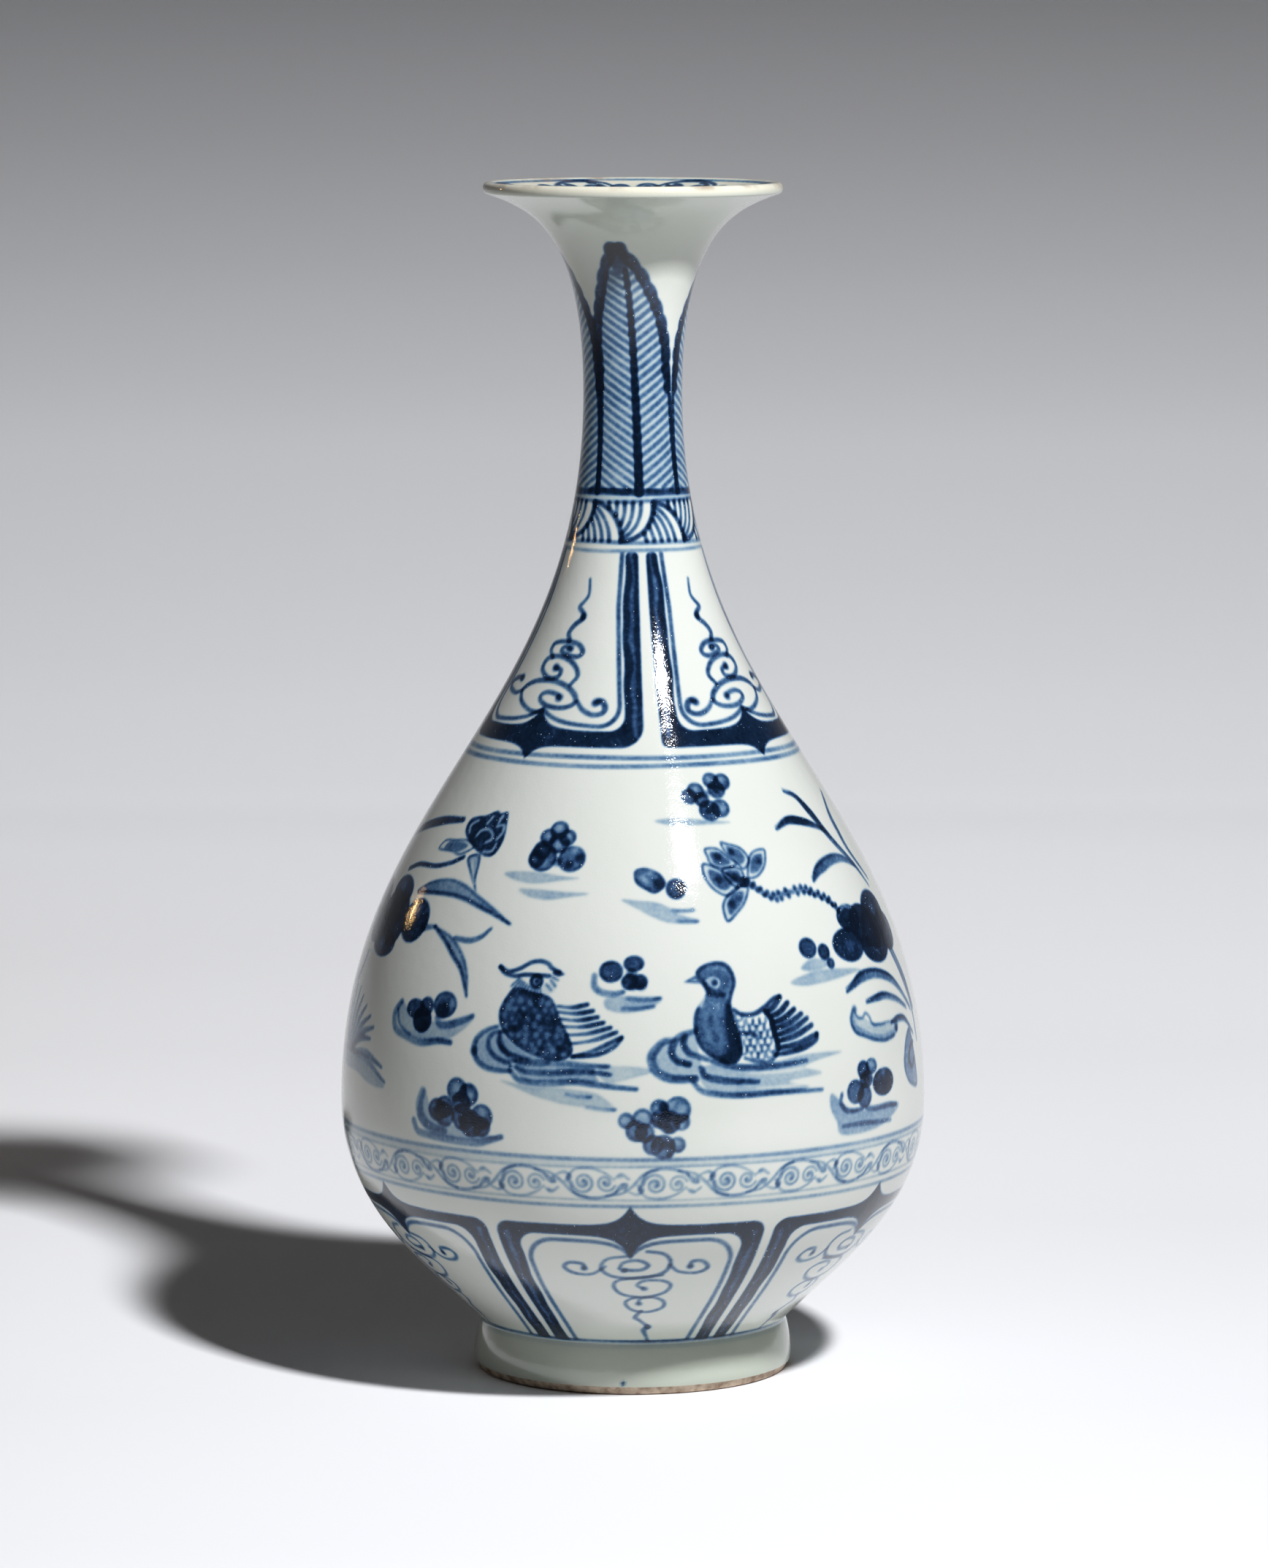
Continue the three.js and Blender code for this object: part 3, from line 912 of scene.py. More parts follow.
bowl_spikes = 40.0
bowl_panel_count = 6
bowl_open_end = float(outside.way_at(bowl_spikes) - outside.way_at(joint_line))
bowl_ink = {"tone": 0.5, "softness": 0.4}
for number in range(bowl_panel_count):
    spot = Spot(outside, -0.5 + 60 * number, bowl_spikes, right=(1, -1)[number % 2], up=-1)
    panel(spot, 28.7, bowl_open_end, bar=(-9.3, -5.4, 2.8, 3.5), inner_bar=(-6.5, 6.9, 2.9, 5.0),
        line=(-4.7, 5.1, 3.2, 8.0), bar_side=(5.0, 4.2, 3.7, 3.4), line_side=(1.6, 1.9, 2.2),
        tones=(1.15, 0.7), line_tone=0.55)
    stroke(spot, [
        (0, 0.2), (-5.7, 1.4), (-7.2, 5), (-3.9, 8), (2.7, 8.3), (8.1, 6.3), (9.8, 2.4), (8.1, -0.4),
        (4.1, -1.3)
    ], (0.8, 1.1, 0.9), **bowl_ink)
    stroke(spot, [(-2.8, 4.8), (-1.7, 2.6), (1.8, 1.8), (4.3, 3.5), (2.5, 5.3), (-1.7, 5.4)],
        (0.8, 1.0, 1.2), **bowl_ink)
    stroke(spot, [
        (7.8, 7.4), (1.6, 8.3), (-3.2, 9.5), (-4.1, 12.2), (-1.9, 15.3), (3.3, 16.4), (8.1, 14.6),
        (9.8, 11.4), (7.5, 9.5), (3.4, 9.5), (1.6, 11.3), (3.3, 12.8)
    ], (0.8, 1.0, 0.9), **bowl_ink)
    stroke(spot, [
        (4.2, 16.4), (0.2, 17), (-1.4, 19.1), (0.2, 22.1), (4, 23.1), (7.7, 21.2), (7.9, 18.2), (5.2, 16.5),
        (2.2, 17.3), (1.9, 19.4)
    ], (0.8, 1.0, 0.8), **bowl_ink)
    stroke(spot, [(2.5, 22.5), (1, 25.5), (2, 27), (4, 30), (3, 31.5), (3.5, 34), (4, 36.5)],
        (0.8, 1.3, 0.9, 1.6, 1.0, 0.7), **bowl_ink)
    stroke(spot, [
        (-6.2, 4.1), (-9.7, 7.1), (-14.1, 6.8), (-16.4, 4.7), (-15.1, 3), (-11.9, 3.3), (-11.4, 5)
    ], (0.8, 1.1, 1.0), **bowl_ink)
    stroke(spot, [(9.7, 3.6), (11.9, 6.2), (16.4, 6.8), (19.1, 5), (17.8, 2.6), (15.2, 2.6), (14.7, 4.4)],
        (0.8, 1.1, 1.0), **bowl_ink)
    for x, y in ((3.3, 12.8), (1.9, 19.4), (-11.4, 5), (14.7, 4.4), (-1.7, 5.4), (4, 30)):
        dab(spot, x, y, 0.9, 0.45, softness=0.8)

# A classic scroll runs pale round the bowl between two lines: each curl is the last one turned
# over, so the stem waves over one and under the next.
scroll_height = 59.1
ring_lines(outside, ((53.3, 0.9, 0.32), (55.0, 0.6, 0.2), (63.2, 0.6, 0.2), (65.1, 0.9, 0.34)))
scroll_tint = np.abs(outside.row_way - outside.way_at(64.2)) < 1
outside.tone[scroll_tint] += 0.08
scroll_units = 26
for number in range(scroll_units):
    spot = Spot(outside, 4 + 360 * number / scroll_units, scroll_height, up=(1, -1)[number % 2])
    strokes(spot, [
        ([(-3.5, -1.5), (-1.5, 2.8), (3, 3.8), (7, 2.9), (10, 1)], (0.6, 0.8, 0.6), 0.34),
        ([(-3.5, -1.5), (-1.5, -3.6), (2.5, -3.9), (6, -2.6), (8, -1)], (0.6, 0.7, 0.5), 0.28),
    ])
    stroke(spot, spiral(0.4, -0.3, 2.9, 1.7, 180, -1), (0.7, 0.65, 0.9), 0.34, smooth=False)
    stroke(spot, spiral(5.9, -0.3, 2.4, 1.4, 20, 1), (0.6, 0.6, 0.9), 0.32, smooth=False)
    strokes(spot, [
        ([(8.3, 2.3), (9.4, 0.5), (11, 0.2), (10.5, 1.6)], (0.5, 0.8, 0.5), 0.32),
        ([(6, 3.2), (10, 2.4), (12.8, 0.2), (15.2, -2.4), (18.5, -3.6)], (0.5, 0.75, 0.6), 0.34),
        ([(11.5, 2.2), (13.5, 2.8), (14.8, 1.6), (13.8, 0.6)], (0.5, 0.8, 0.9), 0.3),
        ([(8.3, -1.5), (9.8, -2.4), (11.6, -1.2)], (0.5, 0.8, 0.6), 0.28),
    ])
    for x, y, radius in (
        (0.4, -0.3, 0.8), (5.9, -0.3, 0.7), (-3, -1.8, 0.7), (10.3, 0.6, 0.7), (9.4, -2, 0.6)
    ):
        dab(spot, x, y, radius, 0.2, softness=0.8)
bowl_end = outside.way_at(54.2)
lay_glaze("bowl_glaze", outside, foot_end, bowl_end, 0.41, "outer_glaze")

# The belly: a lotus pond. Two ducks swim among duckweed between clumps of lotus and reeds, and the
# scene comes twice round the vase, the second time mirrored. Water is pale washes and strokes.


def duckweed(spot, leaves, pale=(), dark=(), tone=0.6):
    """Round leaves, darker where they lap: each a place, half a width and, if not round, half a height."""
    for x, y, half_width, *half_height in leaves:
        tall = half_height[0] / half_width if half_height else 1.0
        dab(spot, x, y, half_width, tone, rim=0.22, tall=tall, softness=0.45)
    for x, y, radius in pale:
        dab(spot, x, y, radius, 0.42, softness=1.4, lift=True)
    for x, y, radius in dark:
        dab(spot, x, y, radius, 0.5, softness=1.2)


def water(spot, lines, width=1.9, tone=0.42, end=0.75):
    """Wet strokes of water: pale along most of their length, with pigment left at the end."""
    widths = (0.8 * width, width, width, 0.6 * width)
    for points in lines:
        stroke(spot, points, widths, (tone, tone, tone, end), softness=0.6)


def pale_washes(spot, shapes, tone=0.22):
    """Thin washes of still water."""
    for points in shapes:
        wash(spot, points, tone, rim=0.05, rim_width=0.5, softness=0.9)


def fringe(spot, roots, tips, width=0.4, gap=0.8, tone=0.45):
    """Fine strokes side by side, from a line of roots to a line of tips."""
    roots, tips = flowing(roots, steps=8), flowing(tips, steps=8)
    length = np.hypot(*np.diff(tips, axis=0).T).sum()
    shares = np.linspace(0, 1, max(int(length / gap), 2))
    for share in shares:
        root = [np.interp(share, np.linspace(0, 1, len(roots)), side) for side in roots.T]
        tip = [np.interp(share, np.linspace(0, 1, len(tips)), side) for side in tips.T]
        stroke(spot, [root, tip], width, tone, smooth=False)


def feathers(spot, roots, tips, sag, width, tone):
    """A fan of tail feathers, each a stroke that sags a little on its way to its tip."""
    for (x, y), (tip_x, tip_y) in zip(roots, tips):
        middle = ((x + tip_x) / 2, (y + tip_y) / 2 - sag)
        stroke(spot, [(x, y), middle, (tip_x, tip_y)], width, tone)


def crested_duck(spot):
    """A duck with a swept crest, a ruff of fine strokes, a scaled body and a fan of tail feathers."""
    body = [
        (-5.7, 9.1), (-7.9, 6.9), (-9.5, 3.3), (-8.9, -0.3), (-6.4, -3.3), (-2.7, -5.7), (1.3, -7.2),
        (5, -8), (8.8, -7.3), (10, -5.1), (8.4, -1.3), (6.3, 2.1), (4.8, 5.5), (2.9, 7.5), (-0.7, 8.2)
    ]
    bulge = [
        (-9.6, -0.5), (-12.8, -1.7), (-15.4, -4), (-16, -6.8), (-14.8, -9.3), (-12.1, -10.8), (-8.8, -11.2),
        (-5.8, -11.1)
    ]
    wash(spot, bulge + [(-6, -7.5), (-8, -4)], 0.24)
    strokes(spot, [
        (bulge, (0.8, 1.4, 1.4, 1.0), 0.48, 0.5),
        ([(-7.5, -1.5), (-11, -2.5), (-12, -5), (-10.5, -7.5), (-7, -9), (-4.5, -8.5)], (0.8, 1.2, 1.0),
         0.48, 0.5),
        ([(-9, -2.5), (-9, -4.5), (-7, -6.5), (-4, -7.5), (-1, -8)], (0.6, 1.1, 0.8), 0.58, 0.5),
    ])
    dab(spot, -16, -7, 1.0, 0.4, softness=0.8)
    dab(spot, -5.6, -9.9, 0.35, 0.8)
    wash(spot, [
        (-9, -1.5), (-6.5, -3.5), (-2.5, -6), (1.5, -7.3), (5, -8), (3, -9.5), (-3, -9.5), (-7, -7.5),
        (-9.5, -5)
    ], 0.34, softness=0.8)
    pale_washes(spot, [[
        (-8, -13.5), (-4, -15), (2, -17), (9, -18.5), (15, -19), (21, -19.5), (17, -16), (12, -15),
        (5, -14.5), (-1, -14.5)
    ]], 0.17)
    pale_washes(spot, [[
        (-4, -9), (3, -9), (9, -9), (15, -9.5), (16, -11.5), (16, -13), (6, -13), (-2, -13)
    ]], 0.26)
    pale_washes(spot, [[(17, -9.5), (24, -9), (30, -10), (26, -11.5), (19, -13)]], 0.15)
    water(spot, [[(-4, -8.5), (3, -8.5), (8.5, -8.5), (14.5, -9), (19, -9)]], 1.3, end=0.8)
    water(spot, [[(-4.5, -10), (-1, -11), (5, -11), (10.5, -10.5), (15, -10.5), (19.5, -11)]], 1.4, 0.46)
    water(spot, [[
        (-5.5, -11), (-3.5, -13), (-0.5, -13.5), (5, -13.5), (11, -13), (16, -13.5), (20.5, -14),
        (26, -14.5)
    ]], 1.5, 0.48)
    water(spot, [[(9, -16), (12, -16.5), (15, -16.5)], [(14, -19), (18, -19.5), (21, -19.5)]], 1.0, 0.25)
    wash(spot, body, 1.0, rim=0.1)
    for number, (x, y) in enumerate(scattered_inside(body, 2.3)):
        x, y = x + 0.4 * math.sin(5 * number), y + 0.4 * math.cos(3 * number)
        dab(spot, x, y, 0.8 + 0.15 * math.sin(7 * number), 0.46, softness=1.0, lift=True)
    dabs(spot, ((0, 6.5), (4, 1), (2, -6), (-4, 3), (7, -5), (-5, -1)), 1.1, 0.4, softness=1.0)
    feather_roots = [(5.5, 5.2), (5.8, 3.8), (6.3, 2.1), (7.1, 0.3), (8.1, -1.7), (9.4, -3.8), (10, -6.9)]
    feather_tips = [
        (12.8, 5.8), (14.3, 4.3), (15.6, 2.8), (17.1, 1.5), (18.9, 0.3), (20.4, -0.8), (21.7, -2)
    ]
    feathers(spot, feather_roots, feather_tips, 0.5, (0.6, 0.7, 1.1, 0.9), (0.8, 0.6, 0.95, 1.0))
    stroke(spot, [(10, -6.9), (13.3, -6.6), (16.7, -6), (20.1, -4.3), (21.8, -2.2)], (0.8, 1.1, 0.8), 0.85)
    crest_top = [(-10.5, 14), (-8, 13), (-5, 14), (-2.5, 15.5), (0, 16), (2, 15.5), (3, 14.5), (5, 13.5)]
    strokes(spot, [
        (crest_top, 0.9, 0.85),
        ([(-10.5, 14), (-9, 12.5), (-6, 12), (-3.5, 12.5), (0.5, 12.5), (2.5, 12.5)], 0.9, 0.85),
    ])
    wash(spot, [(3.5, 13.5), (5, 14), (6.5, 13), (5, 12.5), (3.5, 13)], 0.9, smooth=False)
    dab(spot, -0.5, 11, 1.7, 1.0)
    dab(spot, -0.5, 11, 0.9, 0.7, lift=True)
    dab(spot, -0.4, 11, 0.45, 0.9)
    wash(spot, [
        (-5, 11.2), (-1, 9.6), (2.8, 10.6), (3.8, 12.6), (4.6, 9.4), (2.8, 7.9), (-2, 7.4), (-7, 9)
    ], 0.1)
    fringe(spot, [(-5, 11.5), (-3.5, 10.5), (-1.5, 9.5), (0.5, 9.5)], [
        (-7, 9.5), (-5.5, 8), (-3.5, 8), (-1, 7.5), (1, 7.5)
    ], tone=0.6)
    fringe(spot, [(2, 10.5), (3, 11.5), (3, 12.5)], [(3.5, 9), (4.5, 10), (5, 11.5)], tone=0.6)


def plain_duck(spot):
    """A duck with a dark neck and breast, a white wing of loose scales and dark tail feathers."""
    bulge = [
        (-15.5, -1.5), (-18, -2), (-20.5, -4.5), (-21, -6.5), (-20, -9), (-17.5, -10.5), (-14.5, -11),
        (-10.5, -11)
    ]
    wash(spot, bulge + [(-9, -8), (-9.5, -4), (-10, 0)], 0.2)
    strokes(spot, [
        (bulge, (1.2, 2.2, 2.2, 1.6), (0.4, 0.45, 0.45, 0.85), 0.6),
        ([(-10, 0.5), (-13.5, -0.5), (-15.5, -2.5), (-16, -4.5), (-15, -6.5), (-12, -7.5)], (1.2, 1.8, 1.4),
         (0.5, 0.5, 0.85), 0.6),
        ([(-12.5, -1), (-13, -2.5), (-12, -4.5), (-10, -5.5), (-7, -6.5)], (1.3, 1.5, 1.2),
         (0.85, 0.6, 0.5), 0.6),
    ])
    pale_washes(spot, [[
        (-8, -8), (0, -8.5), (10, -8), (20, -7), (31, -7.5), (24, -8.5), (19, -10), (24, -12), (14, -13),
        (20, -15), (8, -16), (-4, -15.5), (-9, -12)
    ]], 0.2)
    for points in ([(3, -10.3), (12, -10.5), (22, -10)], [(5, -14), (14, -14.2), (22, -13.8)]):
        stroke(spot, points, (0.4, 1.0, 0.6), 0.7, softness=0.8, lift=True)
    water(spot, [[(-6, -7), (-0.5, -8.5), (5.5, -9), (11.5, -9), (19.5, -8.5)]], 1.5, 0.55, 0.5)
    water(spot, [[(-9, -8.5), (-8, -10.5), (-4.5, -11.5), (-1, -12), (5.5, -12.5)]], 1.6, 0.6, 0.6)
    water(spot, [[(-11, -12), (-9, -14), (-5, -15), (1, -15.5), (11, -15.5), (24, -16)]], 1.4, 0.55, 0.6)
    wing = [
        (0.2, 4.5), (3.4, 3.6), (6.1, 4), (8.3, 4.5), (10, 2.9), (10.4, -0.3), (11.4, -3.1), (11.3, -5.4),
        (9.5, -7.6), (5.8, -7.8), (2.3, -6.6), (1, -4.3), (1.7, -1.8)
    ]
    wash(spot, wing, 1.0, lift=True)
    for number, (x, y) in enumerate(scattered_inside(wing, 1.9)):
        x, y = x + 0.25 * math.sin(4 * number), y + 0.2 * math.cos(3 * number)
        scale = [
            (x - 0.9, y + 0.6), (x - 0.8, y - 0.5), (x, y - 0.9), (x + 0.8, y - 0.5), (x + 0.9, y + 0.6)
        ]
        stroke(spot, scale, 0.5, 0.5, softness=0.4)
    strokes(spot, [
        (wing[3:11], (0.6, 0.9, 0.7), 0.6),
        ([(1.5, -0.5), (4, -0.8), (6, -1.5)], (1.2, 1.0, 0.7), 0.6, 0.6),
    ])
    breast = [
        (-8.4, 14.5), (-6.7, 16.3), (-3.7, 17.2), (-0.7, 16.8), (0.9, 14.8), (1.4, 11.8), (0.2, 8.8),
        (-0.5, 6), (0.2, 2.7), (1.2, -0.6), (1.7, -4.8), (0, -7.6), (-3, -7.5), (-6.5, -5.8), (-9.2, -3),
        (-10.1, 1), (-9.7, 4.7), (-7.9, 7.5), (-6.2, 9.8), (-7.1, 11.8)
    ]
    wash(spot, breast, 0.62, rim=0.3, rim_width=0.9)
    strokes(spot, [
        ([(-1, 6), (-0.8, 2), (0, -2), (-0.5, -5.5), (-3, -6.5)], (1.2, 3.0, 3.2, 1.8), 0.6, 1.6),
        ([(-6.5, 12), (-5, 9.5), (-2, 9)], (1.0, 1.5, 1.0), 0.6, 0.8),
    ])
    for points in (
        [(-6, 5.5), (-7.5, 2), (-6, -2.5)], [(-3.5, 7), (-4.5, 3), (-3.5, -1), (-4, -4)],
        [(-5, 15.8), (-2, 15.5), (0, 13.5)], [(0.2, 12), (-1, 8.5)]
    ):
        stroke(spot, points, (0.7, 1.1, 0.7), 0.32, softness=1.2, lift=True)
    stroke(spot, [(-7, 8.5), (-8, 6.5)], 1.0, 0.75, softness=0.6, lift=True)
    wash(spot, [(-11.5, 12.5), (-8.5, 14), (-7, 12)], 0.1, rim=0.6, rim_width=0.5, smooth=False)
    wash(spot, [(-6.3, 13.2), (-4.4, 14.3), (-2.3, 13.5), (-1.9, 11.6), (-3.3, 10), (-5.2, 10.9)], 0.6,
        softness=0.7, lift=True)
    stroke(spot, [(-6.5, 13), (-4.5, 14), (-2.6, 13.2), (-2.2, 11.6), (-3.4, 10.2), (-5, 10.8)], 0.45, 0.45)
    dab(spot, -3.9, 12.1, 0.75, 0.75, softness=0.5)
    stroke(spot, [(-3.2, 13.1), (-2.9, 12.2), (-3.2, 11.3)], 0.5, 0.6, lift=True)
    stroke(spot, [(0.2, 5.2), (2.2, 4), (5.4, 3.9), (8.2, 5.2), (11.1, 7.2), (12.7, 7.7)], (0.8, 1.1, 0.9),
        0.9)
    feather_roots = [(8.8, 4.2), (10, 3), (10.3, 1.4), (10.8, 0), (11.4, -1.6), (11.4, -3.1), (11.5, -4.8)]
    feather_tips = [(13, 7.5), (15, 5.9), (16.8, 4.2), (18.8, 2.9), (20.4, 1.7), (21.7, -0.1), (23.1, -2.4)]
    feathers(spot, feather_roots, feather_tips, 0.6, (1.0, 1.4, 1.5, 1.2), (1.1, 0.85, 1.0))
    strokes(spot, [
        ([(10.5, -6.3), (14.8, -6), (19.2, -5.2), (22.7, -3.8), (23.1, -2.4)], (0.9, 1.4, 0.9), 0.95),
        ([(8.5, 4.4), (10.2, 1.8), (10.7, -1.6), (11.6, -4.8)], (0.8, 1.2, 0.8), 1.1),
    ])


def petal(spot, points, core, heart=0.68):
    """A petal: dark outline, a white line inside it and a blue heart."""
    middle = np.mean(points, axis=0)
    wash(spot, middle + 1.1 * (np.array(points) - middle), 0.08, rim=0.6, rim_width=0.5)
    wash(spot, middle + heart * (np.array(points) - middle), core, softness=0.8)


def lotus_flower(spot):
    """An open flower of six petals round a dark heart, on a stem beaded with thorns."""
    petals = [
        [(-6.5, -10.5), (-7, -7), (-5.5, -4.5), (-2.5, -2.5), (0.5, -2.5), (-1, -6), (-3.5, -8.5)],
        [(-9.5, 4), (-7.5, 3.5), (-5, 2), (-2, -0.5), (-2.5, -2.5), (-5, -4), (-7, -3.5), (-9, -1.5),
         (-10, 1.5)],
        [(-8, 8), (-5, 8), (-3, 6), (-1, 4), (-3, 3), (-5.5, 3), (-7.5, 4), (-8, 6)],
        [(-3.5, 9.5), (-1.5, 9), (1, 8), (2.5, 6), (2.5, 4), (0.5, 2.5), (-1, 4.5), (-3, 7)],
        [(1.5, 1), (3, 5), (4.5, 6.5), (6.5, 7), (8, 6.5), (7, 3), (4.5, 0.5), (2, 0)],
        [(-5, 2.5), (-2, 3), (0, 2), (0, -1), (-2.5, -2), (-4.5, 0)],
    ]
    for points in petals:
        petal(spot, points, 0.58)
    dabs(spot, ((-1.5, 7), (5.5, 4), (-5.5, 6), (-6.5, 0), (-4.5, -6.5), (-2, 0.5)), 0.9, 0.4, softness=0.9)
    dab(spot, 0, -1, 1.3, 1.0)
    stem = flowing([
        (0.5, -1), (2.5, -2.5), (5, -4.5), (7.5, -5.5), (10, -5), (14.5, -4.5), (17.5, -4.5), (20, -5.5),
        (23.5, -7), (26, -8.5), (29, -11.5)
    ], steps=3)
    stroke(spot, stem, 1.3, 0.5, softness=0.5, smooth=False)
    for number, (x, y) in enumerate(stem[1::2]):
        dab(spot, x, y + 0.9, 0.6, 0.75, softness=0.5)
        dab(spot, x + 0.7, y - 0.9, 0.6, 0.7, softness=0.5)


def lotus_bud(spot):
    """A bud nearly black with pigment, its petals drawn by wiping lines out of it."""
    outline = [
        (-4, 2), (-5.5, 4), (-5, 6.5), (-2.5, 7.5), (0, 8), (3, 9.5), (4.5, 9), (6.5, 9.5), (7.5, 7),
        (8.5, 3.5), (8.5, 0.5), (7.5, -2), (5, -2.5), (2, -1.5), (0, -0.5)
    ]
    wash(spot, outline, 1.05)
    for points in (
        [(-0.5, 2.5), (0.5, 4), (2.5, 4.5), (4.5, 3.5), (5, 2), (3.5, 1)], [(-3.5, 3), (-4, 5), (-2, 6.5)],
        [(6.5, 2), (7.5, 4), (7, 6), (5, 5.5)], [(1.5, 6), (2.5, 8)], [(5, 6.5), (5.5, 8.5)],
        [(4, -1.5), (6.5, -1), (7, 1)],
    ):
        stroke(spot, points, 0.9, 0.72, softness=0.5, lift=True)
    petal(spot, [(-13, -2.5), (-11.5, 0), (-8, 0.5), (-3, 1), (0, -0.5), (-4, -3), (-7.5, -2.5)], 0.5)
    wash(spot, [(-0.5, -3.5), (3.5, -2.5), (5, -9), (6.5, -12), (2.5, -7.5)], 0.3, rim=0.55)
    stroke(spot, [(1.5, -4), (3, -7), (5, -10)], 0.6, 0.6, lift=True)
    strokes(spot, [
        ([(-2, -3.5), (-6, -5.5), (-12, -7), (-20, -7.5), (-26, -9.5)], 1.1, 0.9, 0.4),
        ([(-37, -2), (-32, 0.5), (-24, 3), (-15.5, 5), (-8, 6)], (0.5, 2.2, 2.4, 1.4), 1.0, 0.5),
    ])


def blade(spot, upper, lower, tone=0.42):
    """A reed blade between two edges, pale at its upper edge and dark along the lower."""
    wash(spot, list(upper) + list(lower)[::-1], tone, rim=0.1, softness=0.6)
    strokes(spot, [
        (upper, (0.6, 0.7, 0.5), 0.35, 0.5),
        (lower, (0.9, 1.1, 0.6), 0.6, 0.5),
    ])


def slim_blade(spot, points, width=2.4, tone=0.5, dark_line=0.5):
    """A reed blade drawn along its middle, widest near its root, with a line along one side."""
    stroke(spot, points, (0.5, width, width * 0.8, 0.5), tone, softness=0.6)
    line = flowing(points)
    stroke(spot, line + (0, 0.3 * width), (0.4, 0.8, 0.4), dark_line, softness=0.5, smooth=False)


def lobes(spot, places, tone, rim=0.0):
    """The round lobes of a leaf, each a place, half a width and half a height."""
    for x, y, half_width, half_height in places:
        dab(spot, x, y, half_width, tone, rim, tall=half_height / half_width, softness=0.5)


def left_leaf(spot):
    """A lotus leaf folded over, its lobes dark where they lap, with two blades and a branch."""
    lobes(spot, (
        (-1.8, -1.6, 5.7, 5.7), (-14, 4.5, 6, 4.2), (-16, -0.5, 6, 5), (-15, -9, 7, 3.5), (-24, -4, 6.5, 6),
        (-28, 1, 5.5, 5), (-11.5, -2.5, 5.5, 7)
    ), 0.95, rim=0.1)
    dabs(spot, ((-2, 1), (-14.5, 6), (-15.5, -9.5)), 1.6, 0.3, softness=2.0, lift=True)
    blade(spot, [(-5.3, 6), (-0.4, 8.7), (6.1, 10.1), (11.9, 9.3), (17.1, 7.2), (23.9, 4.1), (30.1, 0.6)], [
        (-4.9, 5.4), (1.5, 6), (8.2, 6.3), (13.9, 5.7), (19.4, 4.2), (24.6, 2.6), (30.1, 0.6)
    ])
    blade(spot, [(7.3, -2.2), (13.5, -3.9), (17.5, -6.3), (20.8, -9.6), (23.1, -13.6), (24.3, -18.1)], [
        (7.3, -2.2), (12.7, -5.5), (16.8, -8.8), (20.6, -12.1), (24.3, -18.1)
    ], 0.35)
    strokes(spot, [
        ([(3, -3), (7.3, -2.2)], (2.0, 0.9), 0.5, 0.5),
        ([(15.5, -4.3), (20.3, -4.5), (23.5, -3.2), (25.4, -1)], (1.2, 1.5, 1.3, 0.8), (0.5, 0.5, 0.7),
         0.5),
        ([(-25.2, -12.9), (-27.1, -17.5), (-30.6, -20.5)], (1.2, 1.5, 1.0), 0.6, 0.5),
    ])


def left_reeds(spot):
    """A tuft of grass in a pool, half hidden at the side."""
    pale_washes(spot, [[
        (-10, -9), (0, -11), (10, -11), (20, -13), (27, -12.5), (18, -9), (8, -7), (-6, -6)
    ]], 0.24)
    root_y = -6.5
    for tip_x, tip_y in (
        (-6, 12), (-2, 11), (3, 9), (7, 7.5), (11, 5.5), (15, 3.5), (18, 1), (17, -2), (25, -8),
        (27, -11.5)
    ):
        root_x = 0.25 * tip_x
        middle = ((root_x + tip_x) / 2, (tip_y + root_y) / 2 + 1.5)
        stroke(spot, [(root_x, root_y), middle, (tip_x, tip_y)], (1.2, 2.0, 0.7), (0.36, 0.4, 0.72),
            softness=0.6)


def right_leaf(spot):
    """A dark lotus leaf of lapping lobes with reed blades rising behind it."""
    for points, width, tones in (
        ([(-7.6, 37.4), (-3.8, 35.5), (-1, 30.8), (1.5, 25.4), (4.8, 20.3), (9.9, 14.3), (13.8, 8.4)], 2.4,
         (1.0, 0.9, 0.5, 0.5)),
        ([(-17.2, 27.8), (-11.8, 29.7), (-6.4, 28.8), (-2.2, 27.2), (1.8, 25)], 2.3, (1.0, 1.0, 0.5)),
        ([(-13.5, 13.2), (-9.8, 15.8), (-3.3, 17.7), (3.2, 17.4), (9.9, 14.3)], 3.0, (1.0, 0.7, 0.5, 0.5)),
        ([(14, 34.8), (10.1, 29.1), (9.7, 23.7), (10.6, 18.2), (15.9, 10)], 2.4, (0.7, 0.5, 0.5)),
    ):
        slim_blade(spot, points, width, tones, 0.35)
    lobes(spot, (
        (-5.5, 2.5, 5, 3.5), (-9.5, -4, 6.3, 4.2), (3.5, -5.5, 7.5, 4.5), (9, 2, 7, 6), (4, -1.5, 5, 5),
        (13, -3, 6, 5), (0, 0, 6, 5.5)
    ), 1.1)
    stroke(spot, [(-9.5, 3.5), (-6, 5.5), (-2.5, 4.5)], 0.7, 0.6, softness=0.6, lift=True)
    dabs(spot, ((-9, -4), (3, -6), (9, 3)), 1.6, 0.25, softness=2.0, lift=True)
    for points in (
        [(11.7, -8), (15.9, -15.5), (19, -22.7), (19.7, -32)], [(13.4, -8), (17.8, -16), (20.6, -24)]
    ):
        stroke(spot, points, (1.2, 1.5, 1.0), 0.55, softness=0.5)


